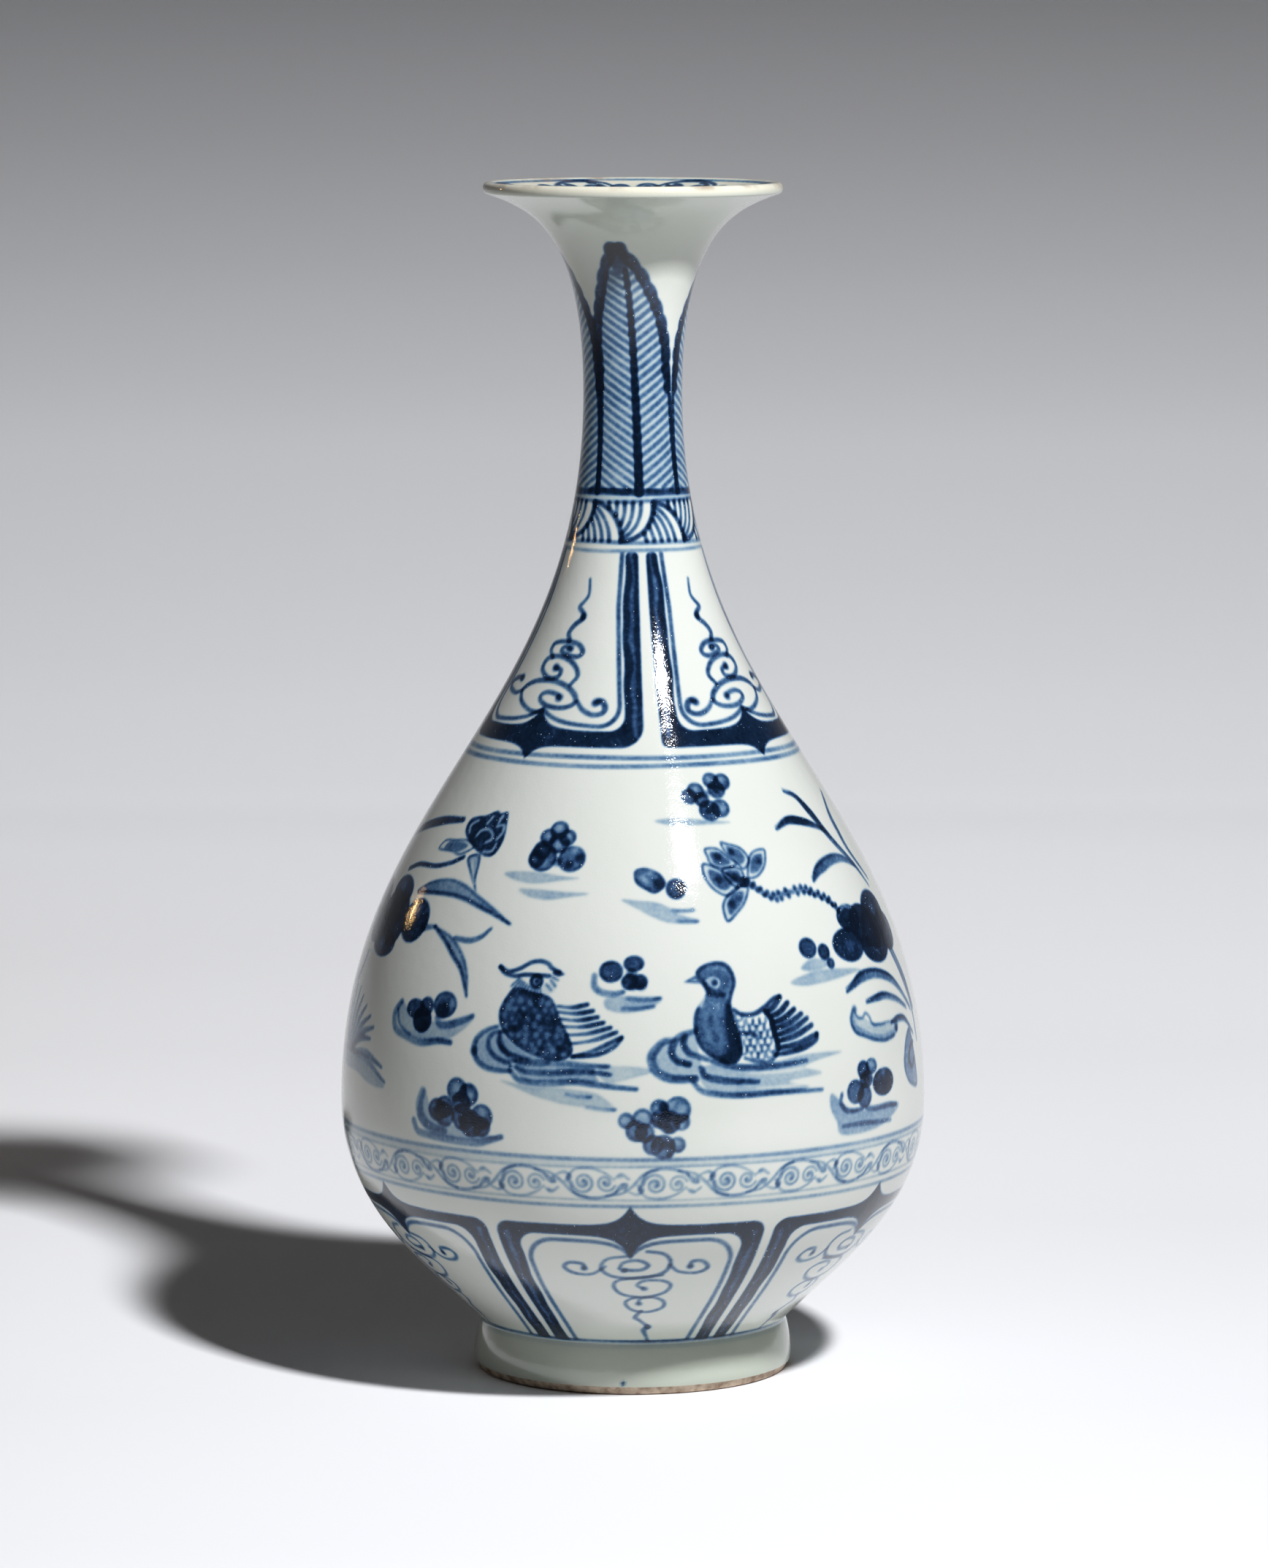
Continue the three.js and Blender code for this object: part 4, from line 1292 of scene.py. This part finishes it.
def right_reeds(spot):
    """Curling water weed under arching reed blades, with a coiled leaf at their foot."""
    strokes(spot, [
        ([(-5, 5.5), (-6.5, 3), (-5.5, 0.5), (-2, -1), (1.5, -2.2), (6.5, -3), (11.5, -2.5), (14, -0.5)],
         1.9, 0.35, 0.8),
        ([(-5.5, 5.5), (-7, 3), (-6, 0), (-2, -1.6), (1.5, -2.8), (6.5, -3.6), (11.5, -3)], 0.7, 0.45, 0.5),
        ([(-5, 5.5), (-4.5, 3.5), (-2.5, 3), (-1, 4), (0.5, 3), (1.5, 1), (5, 0.5), (9, 0.5), (13, 0)],
         (0.5, 0.8, 0.6), 0.45, 0.5),
    ])
    dab(spot, 13.5, -1.5, 0.9, 0.6, softness=0.6)
    pale_washes(spot, [[
        (-5, 4), (-5, 1), (-1, 0), (2, -1), (9, -2), (12, -0.5), (5, 0.5), (1, 1.5), (-2, 3)
    ]], 0.14)
    slim_blade(spot, [(-6.5, 10), (-3, 11.5), (1, 13), (7.5, 13), (14.5, 11), (20, 7.5), (27, 1)], 2.8,
        (1.0, 0.6, 0.5, 0.5))
    slim_blade(spot, [(0.5, 6.5), (5.5, 7), (10, 7), (17, 5), (23, 2)], 1.9, (0.8, 0.5, 0.45))
    slim_blade(spot, [(11, 0), (15.5, 0.5), (20.5, -0.5), (26, -5)], 1.6, (0.8, 0.5, 0.45))
    wash(spot, [(23, -3), (19, -5), (17, -8), (16, -11), (17, -14), (20, -16.5), (26, -17.5), (25, -10)],
        0.45, rim=0.3, softness=0.6)
    stroke(spot, [(25, -6.5), (21.5, -7.5), (20, -10.5), (22, -12.5), (24.5, -10.5)], (0.7, 1.2, 0.8), 0.5)


# Each scene has a turn round the vase and a hand, right or left.
pond_scenes = ((0, 1), (183, -1))
for scene_turn, hand in pond_scenes:

    def place(turn, height):
        """A spot in this scene, mirrored where the scene is."""
        return Spot(outside, scene_turn + hand * turn, height, right=hand)

    crested_duck(place(-19.8, 96.6))
    plain_duck(place(20.4, 95.4))
    left_leaf(place(-56.2, 119.5))
    left_reeds(place(-78, 90))
    lotus_bud(place(-46.4, 137.1))
    lotus_flower(place(28, 130.7))
    right_leaf(place(62.4, 116.3))
    right_reeds(place(54.8, 92.1))

    spot = place(-43.6, 98.4)
    pale_washes(spot, [[
        (-12.9, 0.8), (-8, -2), (2, -3), (12.5, -0.6), (6, -6.5), (-5.5, -7.5), (-13.8, -4)
    ]])
    water(spot, [
        [(-13, 0.5), (-15, -2), (-15, -4.5), (-13.5, -6.5), (-9.5, -7.5), (-3.5, -8.5), (2.5, -7.5),
         (6.5, -7.5)], [(1, -2), (2.5, -3.5), (6, -3), (10, -1.5), (12, -0.5)]
    ])
    stroke(spot, [(-14, -1.5), (-12.5, -5), (-8, -7)], 0.7, 0.4, softness=0.5)
    duckweed(spot, [(-4, -3, 3.2, 3.0)], tone=1.0)
    duckweed(spot, [(-7, -0.5, 3.3, 2.3), (-3, 0.5, 2.3, 2.2), (3, 1.5, 3.7, 3.2)], pale=[(5.5, 2, 1.2)],
        dark=[(2.5, 0, 2)], tone=0.72)

    spot = place(-34, 75.5)
    pale_washes(spot, [[(-13, 3.5), (-9, -3), (2, -5), (9, -6.4), (0, -7.4), (-10, -7), (-15, -3)]])
    water(spot, [[(-13.5, 3), (-14.5, 0), (-14, -3), (-11.5, -5), (-6, -6)]], 2.6, 0.35, 0.5)
    water(spot, [[(-16.5, -4.5), (-15, -7), (-11, -7.5), (-3.5, -8), (3.5, -8), (7.5, -7), (10.5, -6)]])
    duckweed(spot, [
        (-2.5, 4.5, 2.9), (1, 3.5, 2.8), (-1, 1.5, 2.6), (-8.5, -1, 2.7), (-6, -2, 2.9), (-6, 0, 2.6),
        (5, -1.5, 3), (2, -3.5, 3.2), (-0.5, -2, 3.2), (5, -4, 2.4)
    ], pale=[(5, -0.5, 1.3), (-2.5, 5, 1.2), (1.5, 3.5, 1)], dark=[(-0.5, -2.5, 1.2), (-9, -1.5, 1)])

    spot = place(-20, 137.4)
    pale_washes(spot, [
        [(-13.3, -6.8), (-8.9, -6), (-3, -6), (2.2, -6.6), (6.6, -7), (1.8, -7.8), (-3.8, -8.8),
         (-9.3, -8.4)],
        [(-8.4, -10.6), (-4.1, -10.3), (1.6, -10.6), (9.7, -10.9), (4.3, -12), (-0.6, -12.8), (-5.2, -12.3)]
    ])
    duckweed(spot, [
        (-0.5, 5.5, 2.3), (-3, 3.5, 2.1), (2, 3.5, 2.1), (0, 2, 2.6), (-3.5, -2, 3.6), (-4, 0, 2.3),
        (-5, -2.5, 2.2), (4, -2, 3.4)
    ], pale=[
        (-0.5, 6, 1), (-3, 4, 0.9), (2, 4, 0.9), (0, 1.5, 0.9), (-4, 0, 0.9), (-5.5, -2.5, 0.9),
        (-3, -3.5, 0.9), (4.5, 0.5, 1)
    ], dark=[(0.5, -3, 1), (6, -1.5, 1), (3.5, -3.5, 1)])

    spot = place(-2.8, 108.6)
    pale_washes(spot, [[(-3, -5), (-3, -7.5), (1, -8.5), (5, -8), (9, -6.5), (10, -5), (3, -4.5)]], 0.25)
    water(spot, [[(-6, 0.5), (-6, -2), (-4.5, -3.5), (-1.5, -4), (1, -3.5)]], 1.6)
    water(spot, [[(2, -5), (6, -5.5), (10, -5)], [(1, -7.5), (5, -7.5), (8.5, -7)]], 1.1, 0.3, 0.7)
    duckweed(spot, [(-2, 1.5, 2.8, 2.6), (3.5, 3.5, 2.4, 1.9), (2.5, -1, 1.9), (5, -1, 1.8)],
        dark=[(3.5, -2, 1), (5.5, -2, 1)], tone=0.85)
    dab(spot, 3, 1, 1.3, 0.5, softness=0.8)

    spot = place(22.4, 150.3)
    pale_washes(spot, [[
        (-13.9, -6.8), (-9.1, -6.2), (-2.4, -6.8), (5.2, -7.9), (-2.6, -8.1), (-9.4, -8.1)
    ]])
    duckweed(spot, [
        (2.5, 3.5, 2.1), (5.5, 3, 2.2), (3.5, 1, 2.3), (-2, 1, 2.1), (-4, -0.5, 2), (-1, -1.5, 1.9),
        (0.5, -4.5, 2.7), (3.5, -4, 2.4)
    ], pale=[(2, 4, 0.9), (-2, 1.5, 0.9), (4, -4, 0.9), (5.5, 3.5, 0.9)], dark=[
        (3.5, 1, 1), (0.5, -4.5, 1.1), (0.5, 0, 0.9)
    ])

    spot = place(6.4, 130.3)
    pale_washes(spot, [[
        (-9.3, -4.2), (-6, -4.4), (-0.8, -5), (3.8, -6.9), (8.7, -7.2), (3.8, -7.8), (9.5, -9.8),
        (3, -10.2), (-1.1, -9), (-6.1, -6.2)
    ]])
    water(spot, [[(3, -7), (6, -7.2), (8, -7)], [(4, -9.8), (7, -10), (9, -10)]], 1.0, 0.25, 0.6)
    wash(spot, [
        (-6, 2), (-5.5, 3.5), (-3, 4), (-0.5, 3), (1, 1.5), (1.5, -0.5), (0, -2), (-1.5, -2.5),
        (-3.5, -1.5), (-5.5, 0)
    ], 0.65, rim=0.25)
    duckweed(spot, [(4, -1.5, 2.4, 2.6)], pale=[(-4, 1.5, 0.9), (-2, 3, 0.9), (-3, 0.5, 0.9)],
        dark=[(0, 0, 1.2), (5.5, -1.5, 1)], tone=0.65)

    spot = place(42.6, 112.4)
    pale_washes(spot, [
        [(-5.6, -3.8), (-1.4, -1.7), (3.3, -2.9), (3.7, -3.8), (-1.6, -4.8)],
        [(-9.7, -7), (-4.9, -5.5), (2.6, -4.8), (15.1, -6.2), (10.2, -6.9), (1.7, -7.8), (-5.7, -8.1)]
    ])
    duckweed(spot, [(-2, 1, 2.7, 2.5), (3, -0.5, 1.9, 2)], tone=0.85)
    duckweed(spot, [(4.5, -3.5, 1.3)])

    spot = place(53, 78.7)
    pale_washes(spot, [[
        (-14.5, -0.5), (-15, -4), (-13, -7.5), (-11, -11), (2, -11), (12, -8), (12, -6), (-4, -6),
        (-10, -4)
    ]], 0.28)
    water(spot, [[(-11, -1), (-11.5, -3), (-10, -5), (-7.5, -5.5), (-3.5, -5.5)]], 1.2, 0.55)
    water(spot, [[(-2, -5.5), (2, -6), (8, -6), (12, -6.5)]], 1.3, 0.48, 0.8)
    stroke(spot, [(-11, -9), (-5.5, -9), (2, -9.5), (9, -10)], (0.8, 1.2, 0.8), 0.45, softness=0.6)
    duckweed(spot, [
        (1, 4.5, 2.3, 1.9), (-2.5, 4, 2.2), (-1.5, 1.5, 2.6, 2), (-6, -1, 3.1, 2.9), (-2.5, -2.5, 2.7, 2.9)
    ], pale=[(1, 5, 1.2)], dark=[(-1.5, 1.5, 1.3)])
    duckweed(spot, [(6, 0, 4.8, 3.3)], pale=[(6, 2.5, 1.3)], tone=1.05)

    spot = place(5, 75.2)
    duckweed(spot, [
        (-8, -0.5, 1.9), (-4, 0, 2.4), (-5.5, -3, 2.6), (-3.5, -3.5, 2.3), (0, 2.5, 2.1), (4.5, 2, 3.2),
        (2.5, -1, 2.7), (0.5, 0, 2.4), (5.5, -1, 2), (-1.5, -6.5, 2.4), (1, -7, 2.9), (4.5, -6.5, 1.9)
    ], pale=[
        (-4, 0, 1.6), (-8.5, -0.5, 0.9), (-0.5, 2, 0.9), (3, 3.5, 0.9), (5.5, 2, 1.2), (5.5, -2, 0.7),
        (4.5, -6, 1), (-1, -8, 0.8)
    ], dark=[(-1, -1, 1), (2.5, -2.5, 1), (1, 3, 1), (1.5, -6.5, 1.1), (2.5, -9, 0.8)], tone=0.5)

belly_end = outside.way_at(155.5)
lay_glaze("belly_glaze", outside, bowl_end, belly_end, 0.39, "outer_glaze")

# The shoulder: four hanging panels like the bowl's but tall, so each scroll's tail runs up its
# middle to the wave band. Their bars hang between a double line and the waves.
ring_lines(outside, ((157.0, 1.2, 0.42), (158.8, 1.2, 0.45), (207.7, 0.8, 0.36), (209.6, 1.0, 0.4)))
shoulder_spikes = 168.9
shoulder_open = float(outside.way_at(207.3) - outside.way_at(shoulder_spikes))
shoulder_ink = {"tone": 0.68, "softness": 0.45}
shoulder_panels = (
    (-40.5, 44.5, 1, 6.0, (1.15, 0.68)),
    (52.3, 41.3, -1, 1.8, (1.2, 0.62)),
    (139.5, 41.5, 1, 6.0, (1.15, 0.68)),
    (228.5, 43.0, -1, 4.0, (1.15, 0.65)),
)
for turn, half_turn, hand, corner, tones in shoulder_panels:
    spot = Spot(outside, turn, shoulder_spikes, right=hand)
    panel(spot, half_turn, shoulder_open, bar=(-8.9, -4.0, 2.3, corner), inner_bar=(-4.7, 5.3, 2.9, 4.5),
        line=(-3.5, 4.2, 5.3, 6.0), bar_side=(4.2, 4.1, 3.9, 2.7), line_side=(1.35, 1.2, 1.1), tones=tones,
        line_tone=0.7, line_half=0.5, open_corner=1.1)
    stroke(spot, [
        (0, 0), (-3.3, -0.3), (-6.9, 0.9), (-9.5, 2.7), (-10, 5.1), (-7.2, 7.2), (-3.4, 8.2), (1.2, 8.1),
        (5, 6.9), (7.9, 4.7), (8.4, 2.7), (6.5, 1.5), (3.4, 1.2), (0, 1.8), (-2.2, 3.2), (-2, 4.5),
        (-0.1, 5.2), (2.6, 4.8), (3.7, 3.9)
    ], (1.0, 1.35, 1.2, 1.1), **shoulder_ink)
    stroke(spot, [
        (5.5, 7.5), (6.7, 10.2), (4.2, 13.3), (-0.1, 14.8), (-4.1, 14), (-5, 11.2), (-2.2, 9), (1, 9.3),
        (1.4, 11.1), (-0.5, 11.8)
    ], (1.0, 1.3, 1.1), **shoulder_ink)
    stroke(spot, [
        (-2.6, 14.4), (-4, 16.2), (-3.1, 18.2), (0.5, 18.8), (4.1, 18.3), (6, 16.3), (4.8, 15), (1.8, 15.3),
        (-0.4, 16.3), (0.4, 17.4), (2.2, 17)
    ], (1.0, 1.2, 1.0), **shoulder_ink)
    stroke(spot, [
        (1.2, 19.1), (0.3, 21), (1.4, 23.2), (3.2, 24.9), (3.2, 26.2), (1.5, 27.9), (2.5, 29.4),
        (3.3, 31.3), (2.6, 35.2)
    ], (1.2, 1.3, 1.0, 0.5), **shoulder_ink)
    stroke(spot, [(-10.4, 4.8), (-13.2, 3.9), (-17.1, 5), (-17.1, 6.8), (-14.3, 8), (-12.4, 8)],
        (0.9, 1.4, 1.2), **shoulder_ink)
    stroke(spot, [
        (8.9, 3.3), (11.2, 1.1), (14.2, -0.2), (16.6, 0.3), (16.8, 1.8), (15.4, 3.5), (14.1, 3.2)
    ], (0.9, 1.4, 1.2), **shoulder_ink)
    for x, y, radius in (
        (3.7, 3.9, 1.1), (-0.5, 11.8, 1.1), (2.2, 17, 1.0), (-12.4, 8, 1.1), (14.1, 3.2, 1.2),
        (3.3, 25.5, 0.9)
    ):
        dab(spot, x, y, radius, 0.55, softness=0.7)
shoulder_end = outside.way_at(208.7)
lay_glaze("shoulder_glaze", outside, belly_end, shoulder_end, 0.39, "outer_glaze")

# The neck: a band of waves, drawn as fans that stand and hang in turn, each tucked behind the last.
wave_foot = 210.1
wave_rise = float(outside.way_at(219.3) - outside.way_at(wave_foot))
wave_fans = 12
wave_pitch = 360 / wave_fans
fan_sweep = np.radians(np.linspace(0, 90, 25))
for number in range(wave_fans):
    spot = Spot(outside, -40 + wave_pitch * number, wave_foot)
    standing = number % 2 == 0
    edge_rise = wave_rise * np.cos(fan_sweep)
    rises = edge_rise if standing else wave_rise - edge_rise
    edge = spot.along(wave_pitch * np.sin(fan_sweep), rises)
    last_turn = wave_pitch * np.sqrt(np.clip(1 - (1 - edge_rise / wave_rise) ** 2, 0, 1)) - wave_pitch
    last_edge = spot.along(last_turn, rises)
    stroke(spot, edge, 1.15, 0.8, softness=0.4, smooth=False)
    for gap in (3.1, 5.1, 7.1, 9.1, 11.1, 13.1):
        arc = edge - (gap, 0)
        shown = arc[:, 0] > last_edge[:, 0] + 0.2
        if shown.sum() > 2:
            drawn = arc[shown]
            stroke(spot, drawn, (1.0, 0.85, 1.0), (0.75, 0.58, 0.7), softness=0.4, smooth=False)
            dabs(spot, (drawn[0], drawn[-1]), 0.6, 0.25, softness=0.5)
ring_lines(outside, ((219.7, 0.8, 0.5), (221.9, 1.6, 0.85)))
tinted = (outside.row_way > outside.way_at(219.8)) & (outside.row_way < outside.way_at(221.4))
outside.tone[tinted] += 0.12

# Above the waves stand four stiff plantain leaves, each with a midrib, close slanting veins and,
# towards its tip, a thick scalloped edge.
leaf_foot = 221.8
leaf_tip = 284.2
leaf_length = float(outside.way_at(leaf_tip) - outside.way_at(leaf_foot))
leaf_shares = (0, 0.3, 0.56, 0.67, 0.75, 0.86, 0.94, 1)
leaf_half_turns = (46, 47, 47.5, 41, 33, 21, 9.5, 5)
vein_step = 2.35
vein_slant = 0.72
scallop_step = 4.0
for turn, lean in ((6.4, -21), (97, 8), (186, -12), (277, -8)):
    spot = Spot(outside, turn, leaf_foot)

    def leaf_points(rise, side, inset=0.0):
        """Points on a leaf's middle line (side 0) or its left or right edge, moved in by an inset."""
        share = np.array(rise) / leaf_length
        half = np.interp(share, leaf_shares, leaf_half_turns)
        line = spot.along(lean * np.clip(share, 0, 1) ** 1.6 + side * half, rise)
        half_width = np.radians(half) * outside.radius_at(spot.way + np.array(rise))
        line[:, 0] -= side * np.minimum(inset, half_width)
        return line

    whole = np.linspace(0, leaf_length, 40)
    outline = np.vstack([leaf_points(whole, -1), leaf_points(whole, 1)[::-1]])
    wash(spot, outline, 0.1, softness=0.8, smooth=False)
    for side, shade in ((-1, 0.85), (1, 1.0)):
        low = np.linspace(0, 0.45 * leaf_length, 12)
        stroke(spot, leaf_points(low, side, 0.4), 1.1, shade, softness=0.4, smooth=False)
        high = np.linspace(0.4 * leaf_length, 0.97 * leaf_length, 70)
        scallops = 1.2 * np.abs(np.sin(math.pi * high / scallop_step))
        edge_width = np.interp(high / leaf_length, (0.4, 0.5, 1), (0.9, 1.7, 1.9)) + scallops
        stroke(spot, leaf_points(high, side, 1.2), edge_width, (0.9, 0.8, 0.85), softness=0.45,
            smooth=False)
        stroke(spot, leaf_points(high[8:], side, 2.4), 0.8, 0.35, softness=0.5, smooth=False)
        for foot in np.arange(-8, 0.84 * leaf_length, vein_step):
            inner = np.interp(foot + 4, np.array(leaf_shares) * leaf_length, leaf_half_turns)
            reach = math.radians(inner) * outside.radius_at(spot.way + foot + 4)
            inset = 0.9 if foot < 0.4 * leaf_length else 2.2
            out = np.linspace(0.3, reach - inset, 6)
            rises = foot + vein_slant * out
            kept = (rises > 0) & (rises < leaf_length * 0.9)
            if kept.sum() > 1:
                vein = leaf_points(rises, 0) + np.stack([side * out, 0 * out], -1)
                stroke(spot, vein[kept], (0.95, 1.05, 1.15), 0.46, softness=0.45, smooth=False)
    midrib = np.linspace(0, 0.87 * leaf_length, 44)
    rib = leaf_points(midrib, 0)
    rib[:, 0] += 1.5 * (midrib / leaf_length) ** 2
    bumps = 0.22 * np.sin(1.9 * np.arange(44))
    stroke(spot, rib, np.linspace(2.0, 1.2, 44) + bumps, (1.2, 1.25, 1.0), smooth=False)
    tip = np.linspace(0.88 * leaf_length, 0.96 * leaf_length, 6)
    stroke(spot, leaf_points(tip, 0), (3.6, 4.6, 3.8), (0.5, 0.85), softness=0.6, smooth=False)
neck_end = outside.way_at(286.5)
lay_glaze("neck_glaze", outside, shoulder_end, neck_end, 0.36, "outer_glaze")

# The mouth: plain green-white glaze under a flared trumpet, with a thin rolled lip.
lip_foot = outside.way_at(293)
lay_glaze("trumpet_glaze", outside, neck_end, lip_foot, 0.8, "outer_glaze")
lay_glaze("lip_glaze", outside, lip_foot, outside.way[-1], 0.25, "outer_glaze")

# The inside: the same glaze poured in and out again. Just inside the lip runs a line and another
# classic scroll, which the picture shows almost edge-on.
inside = UnrolledWall(inner_face, inner_clay)
lip_way = inside.way[-1]
for inset, width, tone in ((1.6, 0.8, 0.5), (13.5, 0.9, 0.5)):
    height = np.interp(lip_way - inset, inside.way, inside.climb)
    ring_line(inside, height, width, tone, wander=0.05)
mouth_curls = 14
curl_inset = 6.8
for number in range(mouth_curls):
    spot = Spot(inside, 360 * number / mouth_curls, 0, up=(1, -1)[number % 2])
    spot.way = lip_way - curl_inset
    for x, radius in ((-3.5, 3.4), (3.4, 2.6)):
        stroke(spot, spiral(x, 0, radius, 1.55, 90), (1.3, 1.1, 1.8), 0.75, softness=0.4, smooth=False)
    stroke(spot, [(-9, -2), (-7.6, 3), (-2, 4.6), (5, 3.4), (9, -1.8)], (1.0, 1.5, 1.0), 0.75, softness=0.4)
mouth_start = inside.way_at(270)
lay_glaze("inside_glaze", inside, 0, mouth_start, 1.6, "inner_glaze")
lay_glaze("mouth_inside_glaze", inside, mouth_start, lip_way, 0.35, "inner_glaze")

# The well under the foot keeps the solid's own shape, under the same glaze.
for slot in bpy.data.objects["foot_well_glaze"].material_slots:
    slot.material = glazed
